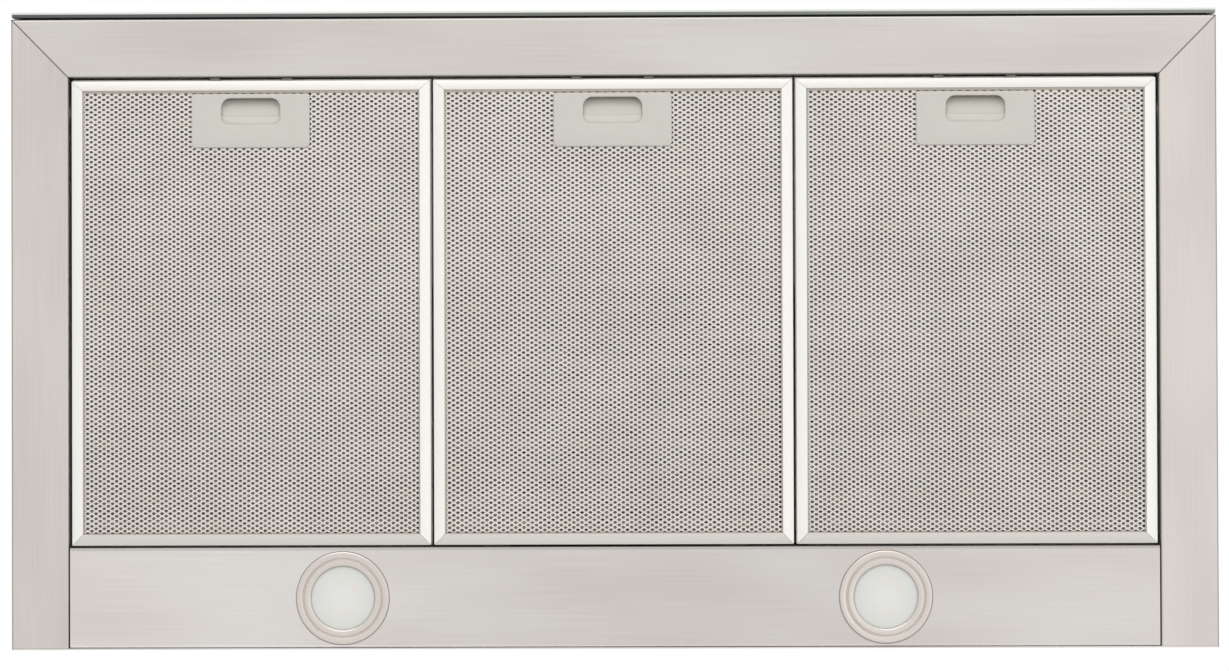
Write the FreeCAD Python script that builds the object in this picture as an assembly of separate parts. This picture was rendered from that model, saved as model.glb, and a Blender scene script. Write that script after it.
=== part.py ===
"""A 900 mm range hood insert: a low canopy with three latched grease filters, a light panel
with two lamps, and a double-inlet blower in a box that hangs on the wall.

Everything is drawn with z = 0 at the canopy's underside, y = 0 at the wall and x = 0 in the
middle, and is lowered at the end so that the origin lies at the centre of the wall screws.
"""
import FreeCAD, Part
import math
import os
from FreeCAD import Vector

# How far a cutting shape runs past the faces it opens.
PAST = 1.0

# ---- canopy, mm ----
WIDTH = 898.0
DEPTH = 475.2
CANOPY_HEIGHT = 62.0
SHEET = 1.0
BEND = 0.8
FRONT_RETURN = 43.8
SIDE_RETURN = 43.0
LIP_HEIGHT = 13.0
TOP_FLANGE = 14.0
MITRE_GAP = 0.2
SEAM = 0.1
GLASS = 4.0
GLASS_ARRIS = 0.8
TAPE = 1.0
TAPE_WIDTH = 12.0
TAPE_INSET = 6.0
TOUCH_BOARD = (150.0, 20.0, 0.8)
TOUCH_PAD = 10.0
TOUCH_PAD_PITCH = 26.0
TOUCH_PADS = 5

# ---- grease filters ----
FILTERS = 3
FILTER_THICKNESS = 10.0
FILTER_GAP = 2.4
SIDE_GAP = 2.35
FRONT_GAP = 2.7
REAR_GAP = 1.3
FRAME_WALL = 0.9
SIDE_BAR = 8.6
END_BAR = 7.8
BAR_SEAM = 0.35
MESH = 0.8
MESH_CLEARANCE = 0.4
PLEAT_PITCH = 20.0
PLEAT_SHEET = 0.6
TAB_WIDTH = 16.0
TAB_THICKNESS = 1.2
TAB_REACH = 8.0
TAB_INSET = 45.0
TAB_CLEARANCE = 0.4

# ---- filter latch ----
PLATE = (88.0, 40.0)
PLATE_THICKNESS = 1.3
PLATE_CORNER = 3.6
PLATE_SETBACK = 2.0
WINDOW = (44.0, 19.4)
WINDOW_FRONT = 3.2
WINDOW_FRONT_CORNER = 7.0
WINDOW_REAR_CORNER = 5.5
PAN_RIM = 3.0
PAN_FRONT_RIM = 1.2
PAN_REAR_RIM = 1.6
PAN_WALL = 1.2
PAN_DEPTH = 8.0
BAND = 5.8
BAND_THICKNESS = 1.4
SLIDER_WALL = 1.0
SLIDER_GAP = 0.4
SLIDER_TRAVEL = 6.0
POCKET_WIDTH = 42.8
CROSSBAR_LENGTH = 6.0
TONGUE_WIDTH = 7.6
TONGUE_PITCH = 54.0
TONGUE_THICKNESS = 1.6
TONGUE_RISE = 4.0
TONGUE_STOP = 0.3
SLOT_CLEARANCE = 0.35
SPRING_SHEET = 0.4
SPRING_WIDTH = 4.0
SPRING_SPAN = 44.0
SPRING_CROWN = 12.0

# ---- light panel and lamps ----
PANEL_LIP = 6.6
PANEL_END_FLANGE = 12.0
PANEL_END_GAP = 0.7
LAMP_FROM_RAIL = 204.0
LAMP_FROM_WALL = 38.0
BEZEL_RADIUS = 34.5
BEZEL_PROUD = 1.6
BEZEL_EDGE = 0.7
APERTURE_RADIUS = 23.5
LENS_RADIUS = 26.6
LENS_THICKNESS = 2.0
CAN_RADIUS = 29.3
CAN_CEILING = 2.4
LAMP_CLEARANCE = 0.2
BOARD_RISE = 13.0
LED_BOARD_RADIUS = 26.4
LED_BOARD_THICKNESS = 1.6
LED_SIZE = 3.0
LED_TURN = 15.0
LED_CIRCLE_RADIUS = 11.7
LEDS = 6
CLIP_WIDTH = 9.0
CLIP_SHEET = 0.6
CLIP_REACH = 9.0
CLIP_RISE = 9.0
CLIP_TOE = 2.0
CLIP_ROOT = 2.0

# ---- blower box, scroll and impeller ----
BOX_WIDTH = 330.0
BOX_DEPTH = 290.0
BOX_HEIGHT = 250.0
BOX_SHEET = 1.0
BOX_FLANGE = 14.0
INTAKE_MARGIN = 18.0
INTAKE_CORNER = 12.0
WALL_SCREWS_X = 270.0
WALL_SCREWS_Z = 150.0
WALL_SCREW_HOLE = 3.5
FAN_FROM_WALL = 126.0
FAN_RISE = 133.0
FAN_RADIUS = 90.0
FAN_HALF_WIDTH = 66.0
FAN_DISC = 2.0
FAN_BLADES = 26
BLADE_INNER_RADIUS = 74.0
BLADE_OUTER_RADIUS = 89.0
BLADE_THICKNESS = 1.2
BLADE_BOW = 1.0
BLADE_LEAN = 8.0
FAN_RING_DEPTH = 3.0
FAN_RING_WALL = 5.0
HUB_RADIUS = 13.0
HUB_BEHIND = 14.0
HUB_AHEAD = 12.0
SHAFT_RADIUS = 4.0
SHAFT_END = 3.0
SHAFT_SHORT = 1.0
SCROLL_WALL = 2.5
SCROLL_CLEARANCE = 8.0
SCROLL_STEP = 13.0
SCROLL_SIDE_GAP = 10.0
TONGUE_ANGLE = 72.0
TONGUE_NOSE = 2.0
INLET_RADIUS = 72.0
BELL_DEPTH = 7.0
BELL_FLARE = 6.0
BELL_RIM = 2.5
OUTLET_RIM = 10.0
OUTLET_RIM_THICKNESS = 3.0
MOTOR_RADIUS = 44.0
MOTOR_BOSS_RADIUS = 15.0
MOTOR_BOSS = 4.0
MOTOR_FROM_DISC = 16.0
BORE_CLEARANCE = 0.08
BRACKET_SHEET = 2.0
BRACKET_STAND = 1.0
BRACKET_HUB = 24.0
BRACKET_ARM = 12.0
BRACKET_ARMS = 3
BRACKET_REACH = 14.0
CAPACITOR = (22.0, 48.0, 34.0)
CAPACITOR_RISE = 150.0
CAPACITOR_EDGE = 2.0
CAPACITOR_EAR = (2.0, 12.0, 18.0)

# ---- duct collar and damper ----
COLLAR_RADIUS = 75.0
COLLAR_WALL = 1.5
COLLAR_HEIGHT = 48.0
COLLAR_BASE = 184.0
COLLAR_BASE_THICKNESS = 2.0
COLLAR_BASE_CORNER = 8.0
PIN_RISE = 14.0
PIN_RADIUS = 1.5
FLAP_SHEET = 1.2
FLAP_CLEARANCE = 0.8
KNUCKLE_RADIUS = 3.4
KNUCKLE_CLEARANCE = 0.2
PIN_CLEARANCE = 0.08
KNUCKLE_LENGTH = 17.0
KNUCKLE_PITCH = 24.0
STOP_LUG = 4.0
STOP_CLEARANCE = 0.3

# ---- electrics on the top plate ----
CONTROL_BOX = (150.0, 100.0, 42.0)
CONTROL_BOX_WALL = 2.0
CONTROL_BOX_FROM_BLOWER = 30.0
CONTROL_BOX_FROM_WALL = 20.0
STANDOFF = 5.0
STANDOFF_HALF = 3.5
CONTROL_BOARD_MARGIN = 6.0
PCB = 1.6
# Place on the board, then size, of the transformer, two relays and the terminal row.
BOARD_PARTS = (
    (12.0, 10.0, 34.0, 28.0, 22.0),
    (56.0, 12.0, 16.0, 24.0, 15.0),
    (76.0, 12.0, 16.0, 24.0, 15.0),
    (12.0, 50.0, 60.0, 9.0, 11.0),
)
LED_DRIVER = (110.0, 42.0, 24.0)
DRIVER_EAR = (9.0, 2.5)
DRIVER_EDGE = 2.5
GLAND_BORE = 5.0
GLAND_RADIUS = 8.0
GLAND_HEX = 22.0
GLAND_HEAD = 7.0
GLAND_LENGTH = 24.0
GLAND_TAIL = 2.0

# ---- fasteners ----
SCREW_RADIUS = 1.9
SCREW_HEAD_FLATS = 7.0
SCREW_HEAD = 2.6
SCREW_LENGTH = 8.0
SCREW_EDGE = 7.0
CABINET_HOLE = 2.6
CABINET_SIDE_EDGE = 59.0
CABINET_END_EDGE = 65.1

# ---- places worked out from the sizes above ----
half_width = WIDTH / 2
rail_front = -DEPTH + GLASS + TAPE
rail_inner_y = rail_front + FRONT_RETURN
rail_inner_x = half_width - SIDE_RETURN
plate_under = CANOPY_HEIGHT - SHEET
filter_front = rail_inner_y + FRONT_GAP
panel_front = -(2 * LAMP_FROM_WALL + SEAM)
lamp_x = rail_inner_x - LAMP_FROM_RAIL
filter_rear = panel_front - REAR_GAP
filter_width = (2 * (rail_inner_x - SIDE_GAP) - (FILTERS - 1) * FILTER_GAP) / FILTERS
filter_pitch = filter_width + FILTER_GAP
plate_front = filter_front + END_BAR + PLATE_SETBACK
pan_front = plate_front + PAN_FRONT_RIM
pan_rear = plate_front + PLATE[1] - PAN_REAR_RIM
pan_top = FRAME_WALL + PAN_DEPTH
window_front = plate_front + WINDOW_FRONT
window_rear = window_front + WINDOW[1]
pocket_rear = window_rear - BAND
crossbar_rear = pan_rear - PAN_WALL - SLIDER_TRAVEL - 3 * SPRING_SHEET
tongue_tip = rail_inner_y + TONGUE_STOP
box_roof = CANOPY_HEIGHT + BOX_HEIGHT
fan_y = -FAN_FROM_WALL
fan_z = CANOPY_HEIGHT + FAN_RISE
scroll_inside = FAN_HALF_WIDTH + SCROLL_SIDE_GAP
scroll_outside = scroll_inside + SCROLL_WALL
scroll_radius = FAN_RADIUS + SCROLL_CLEARANCE + SCROLL_STEP / 2
scroll_top = box_roof - BOX_SHEET
collar_y = fan_y + (SCROLL_STEP / 2 + scroll_radius * math.cos(math.radians(TONGUE_ANGLE))
                    - SCROLL_STEP / 2 - scroll_radius - 2 * SCROLL_STEP) / 2
pin_z = box_roof + PIN_RISE
motor_end = scroll_inside + BELL_DEPTH + BRACKET_STAND
screw_rise = CANOPY_HEIGHT + BOX_HEIGHT / 2
cabinet_spacing_x = WIDTH - 2 * CABINET_SIDE_EDGE
cabinet_spacing_y = -rail_front - 2 * CABINET_END_EDGE


# ---- small helpers ----
def box(x0, x1, y0, y1, z0, z1):
    """A block between two corners."""
    return Part.makeBox(x1 - x0, y1 - y0, z1 - z0, Vector(x0, y0, z0))


def cylinder(radius, start, end):
    """A round bar from one point to another."""
    axis = end.sub(start)
    return Part.makeCylinder(radius, axis.Length, start, axis)


def prism(points, along):
    """A flat polygon pushed along a vector."""
    outline = Part.makePolygon(points + [points[0]])
    return Part.Face(outline).extrude(along)


def fuse(shapes):
    """Several solids as one, without leftover seams."""
    first, *rest = shapes
    return first.multiFuse(rest).removeSplitter() if rest else first


def mirror_x(shape):
    """The same shape on the other side of the middle plane."""
    return shape.mirror(Vector(0, 0, 0), Vector(1, 0, 0))


def rounded_plate(x0, x1, y0, y1, z0, z1, radii):
    """A plate with one corner radius for its front pair and one for its rear pair."""
    front, rear = radii
    corners = [(x0, y0, front), (x1, y0, front), (x1, y1, rear), (x0, y1, rear)]
    edges = []
    ends = []
    for i, (x, y, r) in enumerate(corners):
        inward_x = 1 if x == x0 else -1
        inward_y = 1 if y == y0 else -1
        centre = Vector(x + inward_x * r, y + inward_y * r, z0)
        on_x_side = Vector(x, centre.y, z0)
        on_y_side = Vector(centre.x, y, z0)
        middle = centre.add(Vector(-inward_x * r, -inward_y * r, 0).multiply(math.sqrt(0.5)))
        a, b = (on_x_side, on_y_side) if i % 2 == 0 else (on_y_side, on_x_side)
        edges.append(Part.Arc(a, middle, b).toShape())
        ends.append((a, b))
    sides = [Part.makeLine(ends[i][1], ends[(i + 1) % 4][0]) for i in range(4)]
    loop = [edge for pair in zip(edges, sides) for edge in pair]
    return Part.Face(Part.Wire(loop)).extrude(Vector(0, 0, z1 - z0))


def folded_outline(path, sheet, bend, place):
    """The closed outline of a folded sheet: its outer path, with the sheet on the path's left.

    Each corner of the path becomes a bend with the given inside radius.
    """
    outer = []
    inner = []

    def left_of(a, b):
        length = math.hypot(b[0] - a[0], b[1] - a[1])
        return (-(b[1] - a[1]) / length, (b[0] - a[0]) / length)

    def shifted(p, n, by):
        return (p[0] + n[0] * by, p[1] + n[1] * by)

    first = left_of(path[0], path[1])
    last_outer, last_inner = path[0], shifted(path[0], first, sheet)
    for a, b, c in zip(path, path[1:], path[2:]):
        n1, n2 = left_of(a, b), left_of(b, c)
        turns_left = n1[0] * n2[1] - n1[1] * n2[0] > 0
        near = bend + sheet if turns_left else -bend
        far = near - sheet
        corner_shift = 1 / (1 + n1[0] * n2[0] + n1[1] * n2[1])
        bisector = ((n1[0] + n2[0]) * corner_shift, (n1[1] + n2[1]) * corner_shift)
        centre = shifted(b, bisector, near)
        middle = (n1[0] + n2[0], n1[1] + n2[1])
        scale = 1 / math.hypot(*middle)
        middle = (middle[0] * scale, middle[1] * scale)
        for chain, radius, last in ((outer, near, last_outer), (inner, far, last_inner)):
            start, top, end = (shifted(centre, n, -radius) for n in (n1, middle, n2))
            chain.append((last, start))
            chain.append((start, top, end))
        last_outer = shifted(centre, n2, -near)
        last_inner = shifted(centre, n2, -far)
    final = left_of(path[-2], path[-1])
    outer.append((last_outer, path[-1]))
    inner.append((last_inner, shifted(path[-1], final, sheet)))
    pieces = outer + [(path[-1], inner[-1][1])] + inner + [(path[0], inner[0][0])]
    edges = []
    for piece in pieces:
        points = [place(*p) for p in piece]
        edges.append(Part.makeLine(*points) if len(points) == 2 else Part.Arc(*points).toShape())
    return Part.Face(Part.Wire(Part.sortEdges(edges)[0]))


def hexagon_bar(radius, start, along):
    """A six-sided bar from a point along a vector."""
    axis = Vector(along).normalize()
    across = axis.cross(Vector(0, 0, 1)) if abs(axis.z) < 0.5 else Vector(1, 0, 0)
    corners = []
    for i in range(6):
        turned = FreeCAD.Rotation(axis, 60 * i).multVec(across)
        corners.append(start.add(turned.multiply(radius)))
    return prism(corners, along)


def screw(seat, direction):
    """A hexagon-headed screw: its head sits on the seat, its shank points along the direction.

    The shank is six-sided like its hole, which keeps the many small holes light.
    """
    axis = Vector(direction).normalize()
    head = hexagon_bar(SCREW_HEAD_FLATS / math.sqrt(3), seat, Vector(axis).multiply(-SCREW_HEAD))
    shank = hexagon_bar(SCREW_RADIUS, seat, Vector(axis).multiply(SCREW_LENGTH))
    return head.fuse(shank)


def screw_hole(seat, direction):
    """The hole that a screw's shank fills."""
    axis = Vector(direction).normalize()
    start = seat.sub(Vector(axis).multiply(SCREW_HEAD))
    return hexagon_bar(SCREW_RADIUS, start, axis.multiply(SCREW_LENGTH + 2 * SCREW_HEAD))


nodes = {}


def save(name, shape):
    """Keep one piece, or a group of like fasteners, under its name."""
    nodes[name] = shape


# ---- where the screws sit ----
def body_screw_seats():
    """Screws that hold the top plate on the rails' top flanges."""
    across = half_width - SCREW_EDGE
    front = rail_front + SCREW_EDGE
    rear = -SCREW_EDGE
    middle = (front + rear) / 2
    places = [(x, y) for x in (-across, across) for y in (front + TOP_FLANGE, middle, rear - TOP_FLANGE)]
    places += [(x, front) for x in (-across / 2, across / 2)]
    return [Vector(x, y, CANOPY_HEIGHT) for x, y in places]


def blower_screw_seats():
    """Screws through the blower box's flange into the top plate."""
    across = BOX_WIDTH / 2 + BOX_FLANGE / 2
    front = -BOX_DEPTH - BOX_FLANGE / 2
    seats = [(x, y) for x in (-across, across) for y in (-BOX_DEPTH / 4, -3 * BOX_DEPTH / 4)]
    seats += [(x, front) for x in (-BOX_WIDTH / 4, BOX_WIDTH / 4)]
    return [Vector(x, y, CANOPY_HEIGHT + BOX_SHEET) for x, y in seats]


def collar_screw_seats():
    """Screws through the collar's base and the box roof into the scroll's rim."""
    reach = COLLAR_BASE / 2 - SCREW_EDGE
    top = box_roof + COLLAR_BASE_THICKNESS
    return [Vector(x, collar_y + y, top) for x in (-reach, reach) for y in (-reach, reach)]


def panel_screw_seats():
    """Screws through the light panel's end flanges into the side rails' lips."""
    inside = rail_inner_x - PANEL_END_GAP - SHEET
    height = PANEL_END_FLANGE - SCREW_EDGE / 2 - SHEET
    places = (panel_front + 2 * SCREW_EDGE, -2 * SCREW_EDGE)
    return [(Vector(side * inside, y, height), Vector(side, 0, 0))
            for side in (-1, 1) for y in places]


# ---- canopy ----
def mitre_prism(points):
    """A tall prism that keeps what lies inside a plan outline."""
    corners = [Vector(x, y, -PAST) for x, y in points]
    return prism(corners, Vector(0, 0, CANOPY_HEIGHT + 2 * PAST))


def filter_centre(index):
    """The middle of one filter along the hood's width."""
    return (index - (FILTERS - 1) / 2) * filter_pitch


def tongue_spaces(y0, y1, middle=0):
    """The two ways that one filter's latch tongues slide in, between two places along it."""
    reach = TONGUE_WIDTH / 2 + SLOT_CLEARANCE
    z0 = TONGUE_RISE - SLOT_CLEARANCE
    z1 = TONGUE_RISE + TONGUE_THICKNESS + SLOT_CLEARANCE
    centres = [middle + side * TONGUE_PITCH / 2 for side in (-1, 1)]
    return [box(x - reach, x + reach, y0, y1, z0, z1) for x in centres]


def latch_slots():
    """The slots for every filter's tongues in the front rail's lip."""
    slots = []
    for index in range(FILTERS):
        slots += tongue_spaces(rail_inner_y - SHEET - PAST, rail_inner_y + PAST,
                               filter_centre(index))
    return slots


def make_front_rail():
    path = [(rail_front + TOP_FLANGE, plate_under), (rail_front, plate_under), (rail_front, 0),
            (rail_inner_y, 0), (rail_inner_y, LIP_HEIGHT)]
    face = folded_outline(path, SHEET, BEND, lambda y, z: Vector(-half_width, y, z))
    rail = face.extrude(Vector(WIDTH, 0, 0))
    gap = MITRE_GAP / 2
    keep = mitre_prism([(-half_width + gap, rail_front), (half_width - gap, rail_front),
                        (rail_inner_x - gap, rail_inner_y), (-rail_inner_x + gap, rail_inner_y)])
    holes = [screw_hole(s, Vector(0, 0, -1)) for s in body_screw_seats()]
    return rail.common(keep).cut(latch_slots() + holes)


def make_side_rail():
    """The left side rail; the right one is its mirror image."""
    path = [(-half_width + TOP_FLANGE, plate_under), (-half_width, plate_under), (-half_width, 0),
            (-rail_inner_x, 0), (-rail_inner_x, LIP_HEIGHT)]
    face = folded_outline(path, SHEET, BEND, lambda x, z: Vector(x, rail_front, z))
    rail = face.extrude(Vector(0, -rail_front, 0))
    gap = MITRE_GAP / 2
    keep = mitre_prism([(-half_width, rail_front + gap), (-rail_inner_x, rail_inner_y + gap),
                        (-rail_inner_x, 0), (-half_width, 0)])
    holes = [screw_hole(s, Vector(0, 0, -1)) for s in body_screw_seats()]
    holes += [screw_hole(s, d) for s, d in panel_screw_seats()]
    rear_wall_space = box(-half_width + SHEET, -rail_inner_x + PAST, -SHEET - SEAM, PAST, -PAST,
                          plate_under + PAST)
    return rail.common(keep).cut(holes + [rear_wall_space])


def make_rear_wall():
    path = [(0, 0), (0, plate_under), (-TOP_FLANGE, plate_under)]
    inside = half_width - SHEET - SEAM
    face = folded_outline(path, SHEET, BEND, lambda y, z: Vector(-inside, y, z))
    wall = face.extrude(Vector(2 * inside, 0, 0))
    clear = TOP_FLANGE - SHEET + SEAM
    for x0 in (-inside - PAST, inside - clear):
        wall = wall.cut(box(x0, x0 + clear + PAST, -TOP_FLANGE - PAST, -SHEET,
                            plate_under - SHEET - BEND - SEAM, plate_under + PAST))
    return wall


def make_top_plate():
    plate = box(-half_width, half_width, rail_front, 0, plate_under, CANOPY_HEIGHT)
    intake_x = BOX_WIDTH / 2 - INTAKE_MARGIN
    intake = rounded_plate(-intake_x, intake_x, -BOX_DEPTH + INTAKE_MARGIN, -INTAKE_MARGIN,
                           plate_under - PAST, CANOPY_HEIGHT + PAST,
                           (INTAKE_CORNER, INTAKE_CORNER))
    holes = [screw_hole(s, Vector(0, 0, -1)) for s in body_screw_seats() + blower_screw_seats()]
    middle = rail_front / 2
    for x in (-cabinet_spacing_x / 2, cabinet_spacing_x / 2):
        for y in (-cabinet_spacing_y / 2, cabinet_spacing_y / 2):
            holes.append(cylinder(CABINET_HOLE, Vector(x, middle + y, plate_under - PAST),
                                  Vector(x, middle + y, CANOPY_HEIGHT + PAST)))
    return plate.cut([intake] + holes)


def make_glass():
    pane = box(-half_width, half_width, -DEPTH, -DEPTH + GLASS, 0, plate_under)
    return pane.makeChamfer(GLASS_ARRIS, pane.Edges)


def make_tape():
    """Two strips of bonding tape between the glass and the front rail."""
    reach = half_width - TAPE_INSET
    y0, y1 = -DEPTH + GLASS, rail_front
    strips = [box(-reach, reach, y0, y1, z, z + TAPE_WIDTH)
              for z in (TAPE_INSET, plate_under - TAPE_INSET - TAPE_WIDTH)]
    return Part.makeCompound(strips)


def make_touch_board():
    """The touch board, bonded to the back of the glass between the tape strips."""
    width, height, thickness = TOUCH_BOARD
    back = -DEPTH + GLASS
    middle = plate_under / 2
    board = box(-width / 2, width / 2, back, back + thickness, middle - height / 2,
                middle + height / 2)
    for i in range(TOUCH_PADS):
        x = (i - (TOUCH_PADS - 1) / 2) * TOUCH_PAD_PITCH
        r = TOUCH_PAD / 2
        board = board.cut(box(x - r, x + r, back + thickness / 2, back + thickness + PAST,
                              middle - r, middle + r))
    return board


# ---- grease filter, drawn about x = 0 ----
def make_filter_frame():
    """A mitred channel frame open inwards, with tongue slots in front and two tabs behind."""
    half = filter_width / 2
    y0, y1 = filter_front, filter_rear
    w = FRAME_WALL
    block = box(-half, half, y0, y1, 0, FILTER_THICKNESS)
    channel = box(-half + w, half - w, y0 + w, y1 - w, w, FILTER_THICKNESS - w)
    opening = box(-half + SIDE_BAR, half - SIDE_BAR, y0 + END_BAR, y1 - END_BAR, -PAST,
                  FILTER_THICKNESS + PAST)
    frame = block.cut(channel).cut(opening)
    cuts = []
    for x, sx in ((-half, 1), (half, -1)):
        for y, sy in ((y0, 1), (y1, -1)):
            seam = Vector(-sy * END_BAR * sx, SIDE_BAR, 0)
            seam = seam.normalize().multiply(BAR_SEAM / 2)
            start = Vector(x + sx * w, y + sy * w, -PAST)
            end = Vector(x + sx * (SIDE_BAR + PAST), y + sy * (END_BAR + PAST), -PAST)
            corners = [start.add(seam), end.add(seam), end.sub(seam), start.sub(seam)]
            cuts.append(prism(corners, Vector(0, 0, w + 2 * PAST)))
    frame = frame.cut(cuts + tongue_spaces(y0 - PAST, y0 + w + PAST))
    tab_under = PANEL_LIP + TAB_CLEARANCE
    tabs = []
    for side in (-1, 1):
        x = side * (half - TAB_INSET)
        tabs.append(box(x - TAB_WIDTH / 2, x + TAB_WIDTH / 2, y1 - w, y1 + TAB_REACH, tab_under,
                        tab_under + TAB_THICKNESS))
    return fuse([frame] + tabs)


def pan_hole(clearance, z0, z1):
    """The space of the latch pan with a clearance round it."""
    reach = PLATE[0] / 2 - PAN_RIM + clearance
    return box(-reach, reach, pan_front - clearance, pan_rear + clearance, z0, z1)


def make_mesh_front():
    """The outer layer of expanded mesh, held behind the frame's front flange."""
    inset = FRAME_WALL + MESH_CLEARANCE
    half = filter_width / 2 - inset
    sheet = box(-half, half, filter_front + inset, filter_rear - inset, FRAME_WALL,
                FRAME_WALL + MESH)
    return sheet.cut(pan_hole(MESH_CLEARANCE, 0, FILTER_THICKNESS))


def make_mesh_core():
    """The inner layer: mesh folded to and fro between the front layer and the rear flange."""
    inset = FRAME_WALL + MESH_CLEARANCE
    half = filter_width / 2 - inset
    front, rear = filter_front + inset, filter_rear - inset
    folds = 2 * round((rear - front) / PLEAT_PITCH)
    low = FRAME_WALL + MESH
    high = FILTER_THICKNESS - FRAME_WALL
    slant = PLEAT_SHEET * math.hypot(1, 2 * (high - low) / PLEAT_PITCH)
    step = (rear - front) / folds
    zig = [(front + i * step, low if i % 2 == 0 else high - slant) for i in range(folds + 1)]
    under = [Vector(-half, y, z) for y, z in zig]
    over = [Vector(-half, y, z + slant) for y, z in reversed(zig)]
    core = prism(under + over, Vector(2 * half, 0, 0))
    cuts = [pan_hole(MESH_CLEARANCE, -PAST, FILTER_THICKNESS + PAST)]
    return core.cut(cuts + tongue_spaces(filter_front, pan_front))


def make_latch_plate():
    """The plate round the latch's window."""
    half = PLATE[0] / 2
    face = FRAME_WALL - PLATE_THICKNESS
    plate = rounded_plate(-half, half, plate_front, plate_front + PLATE[1], face, FRAME_WALL,
                          (PLATE_CORNER, PLATE_CORNER))
    window = rounded_plate(-WINDOW[0] / 2, WINDOW[0] / 2, window_front, window_rear,
                           face - PAST, FRAME_WALL + PAST,
                           (WINDOW_FRONT_CORNER, WINDOW_REAR_CORNER))
    return plate.cut(window)


def make_latch_pan():
    """The pan behind the plate that the slider runs in, with slots for the tongues."""
    half = PLATE[0] / 2 - PAN_RIM
    outer = box(-half, half, pan_front, pan_rear, FRAME_WALL, pan_top)
    inner = box(-half + PAN_WALL, half - PAN_WALL, pan_front + PAN_WALL, pan_rear - PAN_WALL,
                FRAME_WALL - PAST, pan_top - PAN_WALL / 2)
    return outer.cut([inner] + tongue_spaces(pan_front - PAST, pan_front + PAN_WALL + PAST))


def make_latch_slider():
    """Finger pocket, finger band, crossbar and two tongues in one moulding."""
    top = pan_top - PAN_WALL / 2 - SLIDER_GAP
    low = FRAME_WALL + SLIDER_GAP
    half = POCKET_WIDTH / 2
    front = pan_front + PAN_WALL + SLIDER_GAP
    crossbar_front = crossbar_rear - CROSSBAR_LENGTH
    arm_out = TONGUE_PITCH / 2 + TONGUE_WIDTH / 2
    arm_top = TONGUE_RISE + TONGUE_THICKNESS
    pieces = [
        box(-half, half, front, pocket_rear + SLIDER_WALL, top - SLIDER_WALL, top),
        box(-half, half, pocket_rear, pocket_rear + SLIDER_WALL, low, top),
        box(-half, half, pocket_rear, crossbar_rear, low, low + BAND_THICKNESS),
        box(-arm_out, arm_out, crossbar_front, crossbar_rear, low, arm_top),
    ]
    for side in (-1, 1):
        wall = side * half
        pieces.append(box(min(wall, wall - side * SLIDER_WALL), max(wall, wall - side * SLIDER_WALL),
                          front, pocket_rear + SLIDER_WALL, low, top))
        x = side * TONGUE_PITCH / 2
        pieces.append(box(x - TONGUE_WIDTH / 2, x + TONGUE_WIDTH / 2, tongue_tip, crossbar_rear,
                          TONGUE_RISE, arm_top))
    return fuse(pieces)


def make_latch_spring():
    """A bent leaf spring: its ends bear on the pan's rear wall, its crown on the crossbar."""
    back = pan_rear - PAN_WALL
    crown = crossbar_rear
    z0 = (TONGUE_RISE + TONGUE_THICKNESS + FRAME_WALL + SLIDER_GAP - SPRING_WIDTH) / 2
    half = SPRING_SPAN / 2
    flat = SPRING_CROWN / 2
    slope = (half - flat) / (back - crown)
    across = SPRING_SHEET * math.hypot(1, slope)
    inner_flat = flat + SPRING_SHEET * slope - across
    outline = [(-half, back), (-flat, crown), (flat, crown), (half, back), (half - across, back),
               (inner_flat, crown + SPRING_SHEET), (-inner_flat, crown + SPRING_SHEET),
               (-half + across, back)]
    return prism([Vector(x, y, z0) for x, y in outline], Vector(0, 0, SPRING_WIDTH))


# ---- light panel and lamps ----
def make_light_panel():
    """A folded tray: rolled front edge that carries the filters, end and rear flanges."""
    half = rail_inner_x - PANEL_END_GAP
    rear = -SHEET - SEAM
    path = [(rear, PANEL_END_FLANGE), (rear, 0), (panel_front, 0), (panel_front, PANEL_LIP)]
    path = [(y, z) for y, z in reversed(path)]
    face = folded_outline(path, SHEET, BEND, lambda y, z: Vector(-half, y, z))
    panel = face.extrude(Vector(2 * half, 0, 0))
    flanges = []
    for side in (-1, 1):
        x0, x1 = sorted((side * half, side * (half - SHEET)))
        flanges.append(box(x0, x1, panel_front + SHEET + BEND, rear - SHEET - SEAM, SHEET / 2,
                           PANEL_END_FLANGE))
    panel = fuse([panel] + flanges)
    holes = [cylinder(CAN_RADIUS + LAMP_CLEARANCE, Vector(x, -LAMP_FROM_WALL, -PAST),
                      Vector(x, -LAMP_FROM_WALL, SHEET + PAST)) for x in (-lamp_x, lamp_x)]
    holes += [screw_hole(s, d) for s, d in panel_screw_seats()]
    return panel.cut(holes)


def revolved(profile):
    """A lamp piece turned from (radius, height) points about the lamp's axis at x = 0."""
    points = [Vector(r, -LAMP_FROM_WALL, z) for r, z in profile]
    face = Part.Face(Part.makePolygon(points + [points[0]]))
    return face.revolve(Vector(0, -LAMP_FROM_WALL, 0), Vector(0, 0, 1), 360)


def make_bezel():
    """The visible ring, with its outer edge broken."""
    return revolved([(APERTURE_RADIUS, 0), (APERTURE_RADIUS, -BEZEL_PROUD),
                     (BEZEL_RADIUS - BEZEL_EDGE, -BEZEL_PROUD),
                     (BEZEL_RADIUS, -BEZEL_PROUD + BEZEL_EDGE), (BEZEL_RADIUS, 0)])


def make_lens():
    """The frosted lens, resting on the bezel inside the can."""
    return Part.makeCylinder(LENS_RADIUS, LENS_THICKNESS, Vector(0, -LAMP_FROM_WALL, 0))


def make_can():
    """The die-cast can: it stands on the bezel and its ceiling cools the LED board."""
    ceiling = BOARD_RISE + LED_BOARD_THICKNESS
    bore = LENS_RADIUS + LAMP_CLEARANCE
    return revolved([(0, ceiling), (bore, ceiling), (bore, 0), (CAN_RADIUS, 0),
                     (CAN_RADIUS, ceiling + CAN_CEILING), (0, ceiling + CAN_CEILING)])


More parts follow.
